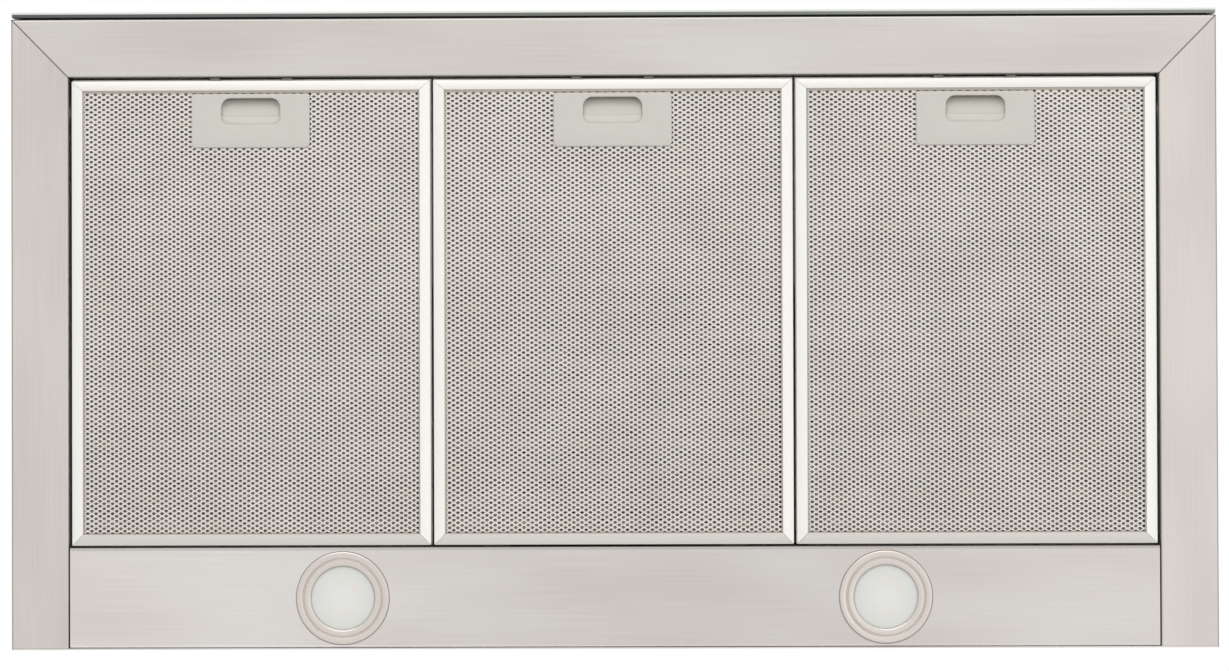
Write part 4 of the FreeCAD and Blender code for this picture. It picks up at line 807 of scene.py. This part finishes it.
# ================================ blower, collar and electrics ================================
BLOWER = (-165.0, 165.0, -290.0)
PLATE_TOP, BOX_ROOF, BASE_TOP = 62.0, 312.0, 314.0
BLOWER_RUNS = np.concatenate([[0.05], np.linspace(0.1, 0.2, 14), np.linspace(0.25, 0.75, 8),
                              np.linspace(0.8, 0.9, 14), [0.95]])
SWAGE_HEIGHTS = (120.0, 187.0, 254.0)
RIVET_PITCH = 43
WALL_HOLE_X, WALL_HOLE_HEIGHTS, WALL_HOLE_RADIUS = 135.0, (112.0, 262.0), 3.5
COLLAR = np.array([0.0, -175.1])
COLLAR_BORE = 73.5
COLLAR_BASE = 92.0
FLAP_RADIUS = 72.7
FAN = (0.0, -126.0, 195.0)
BLADE_COUNT, BLADE_ROOT, BLADE_REACH, BLADE_WALL = 26, 74.0, 15.0, 1.2
SCROLL_RADIUS, SCROLL_STEP = 107.0, 13.0
MOTOR_ARM_X, MOTOR_ARM_RADIUS = 86.0, 87.5
CAPACITOR = (-164.0, -142.0, -169.0, -121.0, 212.0, 246.0)
CONTROL = (195.0, 345.0, -120.0, -20.0)
DRIVER = (-305.0, -195.0, -62.0, -20.0)


def swage(u, z, half_length, centres, width=7.0, height=1.4):
    """How far a pressed stiffening bead stands out at a place on a wall: a smooth ridge, height
    times (1 - (d / width) squared) squared, where d is the distance to the nearest centre line."""
    beyond = np.maximum(np.abs(u) - half_length, 0)
    gap = np.min([np.hypot(beyond, z - c) for c in centres], axis=0)
    return height * np.clip(1 - (gap / width) ** 2, 0, 1) ** 2


def blower_ring(grow, z, swaged=False):
    """The blower box's plan, grown on its three free sides; its rear stays at the wall."""
    x0, x1, y0 = BLOWER
    radius = np.interp(grow, (-2.0, 0.0, 14.0), (0.4, 2.0, 4.0))
    loop = rounded_loop(x0 - grow, x1 + grow, y0 - grow, min(grow, 0.0), radius, 0.4, 5)
    loop = long_sides(loop, BLOWER_RUNS)
    if swaged:
        side = np.arange(len(loop)) // (len(loop) // 4)
        u = np.where(side == 0, loop[:, 0], loop[:, 1] - y0 / 2)
        out = swage(u, z, np.where(side == 0, x1 - 45, -y0 / 2 - 45), SWAGE_HEIGHTS)
        loop = loop + out[:, None] * np.array([(0, -1), (1, 0), (0, 0), (-1, 0)])[side]
    return loop, z


def make_blower_box():
    """The folded box as one closed surface: rings run from its flange up the outside, over the
    roof to the outlet hole and back down the inside, one sheet thickness in."""
    turn = np.radians(np.linspace(0, 90, 5))
    heights = [np.linspace(65.0, BOX_ROOF - 2.5, 12)]
    heights += [z + np.linspace(-7.0, 7.0, 13) for z in SWAGE_HEIGHTS]
    heights = np.unique(np.concatenate(heights).round(2))
    rings = [blower_ring(*p) for p in ((13.8, 62.0), (14.0, 62.2), (14.0, 62.8), (13.8, 63.0))]
    rings += [blower_ring(2 - 2 * math.sin(t), 65 - 2 * math.cos(t)) for t in turn[:-1]]
    rings += [blower_ring(0.0, z, True) for z in heights]
    eave = BOX_ROOF - 2.5
    rings += [blower_ring(-2.5 + 2.5 * math.cos(t), eave + 2.5 * math.sin(t)) for t in turn[1:]]
    hole = on_circle(rings[-1][0], COLLAR, COLLAR_BORE)
    rings += [(hole, BOX_ROOF), (hole, BOX_ROOF - 1)]
    rings += [blower_ring(-2.5 + 1.5 * math.cos(t), eave + 1.5 * math.sin(t)) for t in turn[:0:-1]]
    rings += [blower_ring(-1.0, z, True) for z in heights[::-1]]
    rings += [blower_ring(2 - 3 * math.sin(t), 65 - 3 * math.cos(t)) for t in turn[-2::-1]]
    shell = piece("blower_box_shell", *loft(rings), ZINC_SHEET, "canopy", "galvanised_steel",
                  ("blower_box",), 35)
    drill(shell, [(x, z, WALL_HOLE_RADIUS) for x in (-WALL_HOLE_X, WALL_HOLE_X)
                  for z in WALL_HOLE_HEIGHTS])
    parts, heads = [], []
    rivet = capped_loft([(ring_of(r, 16), h) for r, h in
                         ((3.0, -0.3), (3.0, 0.15), (2.7, 0.65), (1.9, 1.05), (0.8, 1.25))])
    for sign in (-1, 1):
        a, b = sorted((164.6 * sign, 165.8 * sign))
        parts.append(soft_block(a, b, -287.5, -273.5, 68.0, 307.0, 0.3, 0.35))
        heads += [aimed(rivet, (165.8 * sign, -280.5, z), "x", sign)
                  for z in range(80, 300, RIVET_PITCH)]
        heads += [aimed(rivet, (155.0 * sign, y, BOX_ROOF), "z")
                  for y in range(-280, -10, RIVET_PITCH)]
    piece("blower_box_laps", *joined(parts), ZINC_SHEET, "canopy", "galvanised_steel")
    piece("blower_box_rivets", *joined(heads), ZINC_PLATE, "canopy", "zinc_screws")


def drill(made, holes):
    """Cuts round holes through the wall at y = 0, with an exact Boolean that is then applied."""
    parts = [lathe([(0, -3), (r, -3), (r, 2), (0, 2)], (x, 0, z), "y", 32) for x, z, r in holes]
    points, faces = joined(parts)
    mesh = bpy.data.meshes.new("drill")
    mesh.from_pydata(((points - (0, 0, SCREW_RISE)) / 1000).tolist(), [], faces)
    cutter = bpy.data.objects.new("drill", mesh)
    bpy.context.scene.collection.objects.link(cutter)
    turned_outwards(cutter)
    cut = made.modifiers.new("holes", "BOOLEAN")
    cut.operation = "DIFFERENCE"
    cut.solver = "EXACT"
    cut.object = cutter
    graph = bpy.context.evaluated_depsgraph_get()
    result = bpy.data.meshes.new_from_object(made.evaluated_get(graph))
    made.modifiers.clear()
    made.data = result
    bpy.data.objects.remove(cutter)
    finish_mesh(made, 35)


def ring_of(radius, count):
    """Points at equal angles on a circle, or at a radius of their own each."""
    angle = np.linspace(0, 2 * np.pi, count, endpoint=False)
    return np.stack([radius * np.cos(angle), radius * np.sin(angle)], 1)


def hexagon(apothem, count):
    """The radius of a hexagon at equal angles."""
    angle = np.linspace(0, 2 * np.pi, count, endpoint=False)
    return apothem / np.cos((angle + np.pi / 6) % (np.pi / 3) - np.pi / 6)


def make_duct_collar():
    """The collar as rings from its square base, through a fillet to the spigot, over its rim and
    down the bore; and its stop lugs and gussets."""
    def base(inset):
        half, radius = COLLAR_BASE - inset, 8 - inset
        loop = rounded_loop(-half, half, COLLAR[1] - half, COLLAR[1] + half, radius, radius, 7)
        return long_sides(loop, np.linspace(0, 1, 24)[1:-1])

    rings = [(base(0.7), BOX_ROOF), (base(0.0), BOX_ROOF + 0.6), (base(0.0), BASE_TOP - 0.6),
             (base(0.7), BASE_TOP)]
    spigot = [(79.6, 314.0), (77.6, 314.3), (76.0, 315.4), (75.2, 317.2), (75.0, 319.0),
              (74.7, 344.0), (75.0, 344.5), (75.0, 348.5), (74.6, 349.0), (74.3, 358.4),
              (74.1, 359.5), (73.8, 360.0), (73.5, 359.7), (73.5, 312.0)]
    rings += [(on_circle(rings[0][0], COLLAR, r), z) for r, z in spigot]
    parts = [loft(rings)]
    for degrees in range(45, 360, 90):
        parts.append(about(soft_block(69.5, 74.2, -2, 2, 321.1, 325.1, 0.3, 0.5), COLLAR, degrees))
    wedge = np.array([(74.5, 313.7), (87.0, 313.7), (86.2, 315.2), (75.4, 327.5), (74.5, 328.0)])
    ends = [np.column_stack([wedge[:, 0], np.full(5, y), wedge[:, 1]]) for y in (-0.9, 0.9)]
    for degrees in np.arange(22.5, 360, 45):
        parts.append(about(bar_between(ends), COLLAR, degrees))
    piece("duct_collar_spigot", *joined(parts), BLACK_PLASTIC, "canopy", "dark_plastic",
          ("duct_collar",), 35)


def make_damper_ribs():
    """Three stiffening ribs on the upper face of each damper flap, out to a rim's width of it."""
    for name, sign in (("front", -1), ("rear", 1)):
        parts = []
        for x in (-42.0, 0.0, 42.0):
            reach = math.sqrt(FLAP_RADIUS ** 2 - x * x) - 4
            y0, y1 = sorted((COLLAR[1] + sign * 8, COLLAR[1] + sign * reach))
            parts.append(soft_block(x - 0.8, x + 0.8, y0, y1, 326.3, 327.9, 0.3, 0.5))
        piece(f"damper_{name}_ribs", *joined(parts), BLACK_PLASTIC, f"damper_{name}",
              "dark_plastic")


def make_fan():
    """The impeller with smooth rings and blades that curve as a quadratic of the way out, and the
    motor with its rolled seams."""
    _, y0, z0 = FAN
    disc = [(4.0, -14.0), (12.4, -14.0), (13.0, -13.4), (13.0, -3.0), (16.0, -1.2), (60.0, -1.0),
            (89.7, -1.0), (90.0, -0.7), (90.0, 0.7), (89.7, 1.0), (60.0, 1.0), (16.0, 1.2),
            (13.0, 3.0), (13.0, 11.4), (12.4, 12.0), (4.0, 12.0)]
    parts = [lathe(disc, FAN, "x", 104)]
    for x in (-66.0, 63.0):
        ring = [(85.3, x), (89.7, x), (90.0, x + 0.3), (90.0, x + 2.7), (89.7, x + 3.0),
                (85.3, x + 3.0), (85.0, x + 2.7), (85.0, x + 0.3)]
        parts.append(lathe(ring, FAN, "x", 104))
    way = np.linspace(0, 1, 9)
    radius, shift = BLADE_ROOT + BLADE_REACH * way, 12.0 * way ** 2 - 4.0 * way
    radius = np.append(radius, radius[::-1])
    shift = np.append(shift, shift[::-1] + BLADE_WALL)
    for angle in np.linspace(0, 2 * np.pi, BLADE_COUNT, endpoint=False):
        c, s = math.cos(angle), math.sin(angle)
        section = np.column_stack([y0 + radius * c - shift * s, z0 + radius * s + shift * c])
        parts.append(bar_between([np.column_stack([np.full(len(way) * 2, x), section])
                                  for x in (-64.5, 64.5)]))
    piece("impeller_wheel", *joined(parts), BLACK_PLASTIC, "fan", "dark_plastic", ("impeller",),
          35)
    can = [(4.08, 16.0), (14.4, 16.0), (15.0, 16.6), (15.0, 20.0), (37.0, 20.0), (41.5, 21.2),
           (43.6, 23.6), (44.0, 26.0), (44.0, 47.0), (43.0, 47.6), (43.0, 50.0), (44.0, 50.6),
           (44.0, 78.0), (43.4, 81.5), (41.0, 83.6), (38.0, 84.0), (4.08, 84.0)]
    piece("motor_can", *lathe(can, FAN, "x", 72), MOTOR_BLACK, "canopy", "motor_enamel",
          ("motor",), 35)


def make_scroll_seam():
    """The flange along the scroll's joint at x = 0, and clips over it. It follows the scroll:
    three quarter arcs that widen by one step each, drawn from the corners of a square."""
    step = SCROLL_STEP
    y, z = FAN[1] + step / 2, FAN[2] - step / 2
    line = []
    for i, (start, end) in enumerate(((62, 0), (0, -90), (-90, -180))):
        t = np.radians(np.linspace(start, end, 3 + abs(end - start) // 5))
        cy, cz = y - step * (i > 0), z + step * (i > 1)
        out = np.stack([np.cos(t), np.sin(t)], 1)
        line.append(np.hstack([(cy, cz) + (SCROLL_RADIUS + i * step) * out, out]))
    rise = line[-1][-1]
    line.append(np.array([(rise[0], rise[1] + up, -1.0, 0.0) for up in (20, 50, 80)]))
    line = np.concatenate(line)
    at, out = line[:, :2], line[:, 2:]
    rings = []
    for x, lift in ((-3.0, -0.6), (-3.0, 2.2), (-2.6, 2.6), (2.6, 2.6), (3.0, 2.2), (3.0, -0.6)):
        rings.append(np.column_stack([np.full(len(at), x), at + out * lift]))
    count = len(at)
    faces = grid_faces(len(rings), count, True).tolist()
    faces += [[r * count + k for r in range(len(rings))] for k in (0, count - 1)]
    piece("scroll_seam", np.concatenate(rings), faces, BLACK_PLASTIC, "canopy", "dark_plastic", (),
          35)
    parts = []
    for k in range(4, count - 2, 8):
        t = math.degrees(math.atan2(out[k, 1], out[k, 0]))
        clip, quads = soft_block(1.9, 3.4, -5.0, 5.0, -4.4, 4.4, 0.4, 0.5)
        turn, where = math.radians(t), at[k]
        lift, along, x = clip.T
        parts.append((np.column_stack([x, where[0] + lift * math.cos(turn) - along * math.sin(turn),
                                       where[1] + lift * math.sin(turn) + along * math.cos(turn)]),
                      quads))
    piece("scroll_clips", *joined(parts), SPRING_STEEL, "canopy", "spring_steel")


def make_electrics():
    """Control box with its lid and ribs, mains gland, LED driver and run capacitor."""
    x0, x1, y0, y1 = CONTROL

    def plan(inset, radius=3.0):
        r = max(radius - inset, 0.4)
        return rounded_loop(x0 + inset, x1 - inset, y0 + inset, y1 - inset, r, r, 7)

    walls = [(2.3, 102.0), (2.0, 101.0), (2.0, 62.0), (0.0, 62.0), (0.0, 90.0), (0.5, 90.3),
             (0.5, 91.0), (0.0, 91.3), (0.0, 101.6), (0.35, 102.8), (1.1, 103.7), (2.4, 104.0)]
    parts = [capped_loft([(plan(i), z) for i, z in walls])]
    lid = [(6.0, 103.7), (6.0, 104.8), (6.2, 105.2), (6.7, 105.4)]
    parts.append(capped_loft([(plan(i, 10.0), z) for i, z in lid]))
    for i in range(11):
        x = x0 + 22 + i * 10.6
        parts.append(soft_block(x - 0.9, x + 0.9, y0 - 0.9, y0 + 0.5, 68.0, 86.0, 0.35, 0.6))
    piece("control_box_shell", *joined(parts), BOX_PLASTIC, "canopy", "grey_box_plastic",
          ("control_box",), 35)
    nut = hexagon(11.0, 48)
    flute = 9.2 + 0.35 * np.tile([1, -1], 24)
    rings = [(5.0, -4.0), (7.4, -4.0), (8.0, -3.4), (8.0, 0.0), (np.minimum(nut, 11.6), 0.0),
             (nut, 1.0), (nut, 6.0), (np.minimum(nut, 11.6), 7.0), (8.6, 7.0), (8.6, 7.8),
             (flute, 8.4), (flute, 16.5), (9.0, 17.4), (8.6, 19.5), (7.6, 21.8), (6.6, 23.2),
             (5.8, 24.0), (5.2, 23.8), (5.0, 23.0)]
    gland = aimed(loft([(ring_of(r, 48), h) for r, h in rings]), (x1, (y0 + y1) / 2, 83.0), "x")
    piece("mains_gland_nut", *gland, BLACK_PLASTIC, "canopy", "dark_plastic", ("mains_gland",), 35)
    x0, x1, y0, y1 = DRIVER
    parts = [soft_block(x0, x1, y0, y1, 62.0, 86.0, 2.5, 3.0)]
    for x in (x0 + 7, x1 - 7):
        parts.append(soft_block(x - 0.8, x + 0.8, y0 - 0.4, y1 + 0.4, 62.3, 86.4, 0.35, 0.6))
    for a, b in ((x0 - 9, x0 + 1), (x1 - 1, x1 + 9)):
        parts.append(soft_block(a, b, y0 + 10.5, y1 - 10.5, 62.0, 64.5, 0.5, 3.0))
    for x, sign in ((x0, -1), (x1, 1)):
        boss = capped_loft([(ring_of(r, 24), h) for r, h in
                            ((4.6, -1.0), (4.6, 0.8), (3.6, 1.4), (3.2, 4.6), (2.6, 5.0))])
        parts.append(aimed(boss, (x, (y0 + y1) / 2, 76.0), "x", sign))
    piece("led_driver_case", *joined(parts), WHITE_PLASTIC, "canopy", "white_plastic",
          ("led_driver",), 35)
    parts = [soft_block(*CAPACITOR, 2.0, 2.0),
             soft_block(-164.0, -162.0, -121.5, -109.0, 220.0, 238.0, 0.5, 0.6)]
    for y in (-157.0, -133.0):
        parts.append(soft_block(-142.5, -136.0, y - 3.2, y + 3.2, 228.6, 229.4, 0.2, 0.3))
    piece("run_capacitor_case", *joined(parts), WHITE_PLASTIC, "canopy", "white_plastic",
          ("motor_capacitor",), 35)


def make_screws():
    """Hexagon washer-head screws, one shape at every seat: its head rises along the seat's axis."""
    nut = hexagon(3.5, 24)
    rings = [(1.2, -8.0), (1.9, -7.2), (1.9, 0.0), (4.4, 0.0), (4.6, 0.25), (4.2, 0.7), (nut, 0.7),
             (nut, 2.0), (np.minimum(nut, 3.6), 2.4), (3.1, 2.6), (1.9, 2.6), (1.5, 1.7)]
    screw = capped_loft([(ring_of(r, 24), h) for r, h in rings])
    canopy = [(x, y, PLATE_TOP, "z", 1) for x in (-442.0, 442.0) for y in (-449.2, -235.1, -21.0)]
    canopy += [(x, -463.2, PLATE_TOP, "z", 1) for x in (-221.0, 221.0)]
    canopy += [(404.3 * s, y, 7.5, "x", -s) for s in (-1, 1) for y in (-62.1, -14.0)]
    canopy += [(x, -41.0, 64.5, "z", 1) for x in (-309.5, -190.5)]
    blower = [(x, y, PLATE_TOP + 1, "z", 1) for x in (-172.0, 172.0) for y in (-72.5, -217.5)]
    blower += [(x, -297.0, PLATE_TOP + 1, "z", 1) for x in (-82.5, 82.5)]
    blower += [(x, COLLAR[1] + y, BASE_TOP, "z", 1) for x in (-85, 85) for y in (-85, 85)]
    for degrees in (90, 210, 330):
        t = math.radians(degrees)
        y, z = FAN[1] + MOTOR_ARM_RADIUS * math.cos(t), FAN[2] + MOTOR_ARM_RADIUS * math.sin(t)
        blower.append((MOTOR_ARM_X, y, z, "x", 1))
    for name, seats in (("canopy", canopy), ("blower", blower)):
        parts = [aimed(screw, seat[:3], *seat[3:]) for seat in seats]
        piece(f"{name}_screw_set", *joined(parts), ZINC_PLATE, "canopy", "zinc_screws",
              (f"{name}_screws",), 35)
    lid = capped_loft([(ring_of(r, 20), h) for r, h in
                       ((2.9, -1.2), (2.9, 0.1), (2.6, 0.7), (1.6, 1.1), (0.9, 1.15), (0.7, 0.6))])
    x0, x1, y0, y1 = CONTROL
    parts = [aimed(lid, (x, y, 105.4), "z") for x in (x0 + 14, x1 - 14) for y in (y0 + 14, y1 - 14)]
    piece("control_box_lid_screws", *joined(parts), ZINC_PLATE, "canopy", "zinc_screws")


def make_swages():
    """Stiffening beads pressed up in the top plate: each is a grid over its oval outline, which
    meets the sheet with no slope and whose rim lies inside the sheet's thickness."""
    parts = []
    for x0, x1, y, width in ((-400, 400, -330, 9), (-400, 400, -385, 9), (-400, 400, -440, 7),
                             (-400, -215, -250, 9), (-400, -215, -190, 9), (-400, -215, -130, 9),
                             (215, 400, -250, 9), (215, 400, -190, 9)):
        t = np.linspace(-1, 1, 13)
        ends = np.sqrt(1 - t ** 2) * width
        left, right = x0 + width - ends, x1 - width + ends
        across = np.abs(t)[:, None]
        slope = width * np.linspace(0, 1, 7)
        xx = np.hstack([left[:, None] + slope, right[:, None] - slope[::-1]])
        near_end = np.minimum(xx - left[:, None], right[:, None] - xx)
        gap = np.hypot(np.maximum(1 - near_end / width, 0), across)
        zz = 61.75 + 1.65 * np.clip(1 - gap ** 2, 0, 1) ** 2
        yy = y + width * np.broadcast_to(t[:, None], xx.shape)
        points = np.stack([xx, yy, zz], -1).reshape(-1, 3)
        parts.append((points, grid_faces(13, xx.shape[1]).tolist()))
    piece("top_plate_swages", *joined(parts), ZINC_SHEET, "canopy", "galvanised_steel",
          closed=False)


# ================================ put together ================================
def dress(look, *names):
    """Gives CAD nodes a material."""
    for name in names:
        mesh = nodes[name].data
        mesh.materials.clear()
        mesh.materials.append(look)


dress(STAINLESS_WIDE, "front_rail")
dress(STAINLESS_PANEL, "light_panel")
dress(STAINLESS_DEEP, "side_rail_left", "side_rail_right")
dress(STAINLESS_REAR, "rear_wall")
dress(ZINC_SHEET, "top_plate", "motor_bracket")
dress(FOAM_TAPE, "fascia_tape")
dress(SOLDER_MASK, "touch_board", "control_board", "lamp_led_boards")
dress(CAST_ALUMINIUM, "lamp_cans")
dress(SPRING_STEEL, "lamp_clips")
dress(BLACK_PLASTIC, "scroll_left", "scroll_right", "damper_flap_front", "damper_flap_rear")
dress(GROUND_STEEL, "fan_shaft", "damper_pin")
for side, centre in FILTER_CENTRES.items():
    dress(BLACK_PLASTIC, f"filter_{side}_latch_pan")
    make_filter(side, centre)
make_glass()
make_lamps()
make_blower_box()
make_duct_collar()
make_damper_ribs()
make_fan()
make_scroll_seam()
make_electrics()
make_screws()
make_swages()


# ================================ studio ================================
def make_studio():
    """White surroundings, dim at the level of the hood so that folds and edges turn dark, and
    lighter in front and to the right; a pale floor far below, and soft boxes in front and at the
    right."""
    scene = bpy.context.scene
    world = bpy.data.worlds.new("studio")
    scene.world = world
    world.use_nodes = True
    tree = world.node_tree
    tree.nodes.clear()
    towards = add(tree, "TexCoord").outputs["Generated"]
    slope = add(tree, "VectorMath", {0: towards, 1: (0.08, -0.2, 0.0)}, operation="DOT_PRODUCT")
    rise = add(tree, "SeparateXYZ", {"Vector": towards}).outputs["Z"]
    steep = add(tree, "Math", {0: rise}, operation="ABSOLUTE").outputs[0]
    level = add(tree, "Math", {0: steep, 1: 0.95, 2: slope.outputs["Value"]},
                operation="MULTIPLY_ADD")
    base = add(tree, "Math", {0: level.outputs[0], 1: 0.36}, operation="ADD")
    seen = add(tree, "Background", Color=(1, 1, 1, 1), Strength=1.0)
    lit = add(tree, "Background", {"Strength": base.outputs[0]}, Color=(1.0, 0.995, 0.99, 1))
    to_camera = add(tree, "LightPath").outputs["Is Camera Ray"]
    mix = add(tree, "MixShader", {0: to_camera, 1: lit.outputs[0], 2: seen.outputs[0]})
    add(tree, "OutputWorld", {"Surface": mix.outputs[0]})
    floor_mesh = bpy.data.meshes.new("floor")
    reach, depth = 8.25, -9.0
    floor_mesh.from_pydata([(-reach, -reach, depth), (reach, -reach, depth), (reach, reach, depth),
                            (-reach, reach, depth)], [], [(0, 1, 2, 3)])
    floor = bpy.data.objects.new("floor", floor_mesh)
    scene.collection.objects.link(floor)
    pale, _, _, _ = material("pale_studio_floor", Base_Color="#F7F6F4", Roughness=0.9)
    floor_mesh.materials.append(pale)
    target = Vector((0.0, -0.24, -0.187))
    for name, place, size, power in (("front_box", (-0.3, -3.4, -3.4), 3.4, 26),
                                     ("right_box", (1.9, -0.24, -4.7), 2.0, 4.2)):
        data = bpy.data.lights.new(name, "AREA")
        data.shape = "SQUARE"
        data.size = size
        data.energy = power
        light = bpy.data.objects.new(name, data)
        light.location = place
        light.rotation_euler = (target - Vector(place)).to_track_quat("-Z", "Y").to_euler()
        scene.collection.objects.link(light)
    scene.view_settings.view_transform = "Standard"


def make_camera():
    """The photograph's view: from 2.69 m below, straight up, the hood's front at the top."""
    data = bpy.data.cameras.new("camera")
    data.lens = 106.0
    data.sensor_width = 36.0
    data.clip_end = 100.0
    camera = bpy.data.objects.new("camera", data)
    place = Vector((0.0318, -0.2021, -2.6928 - SCREW_RISE / 1000))
    turn = Matrix.Rotation(math.radians(0.1866), 3, "Z")
    turn = turn @ Matrix.Rotation(math.radians(-0.6606), 3, "Y")
    turn = turn @ Matrix.Rotation(math.radians(0.651), 3, "X")
    upright = Matrix(((1, 0, 0), (0, -1, 0), (0, 0, -1)))
    camera.matrix_world = Matrix.Translation(place) @ (turn @ upright).to_4x4()
    bpy.context.scene.collection.objects.link(camera)
    bpy.context.scene.camera = camera


make_studio()
make_camera()
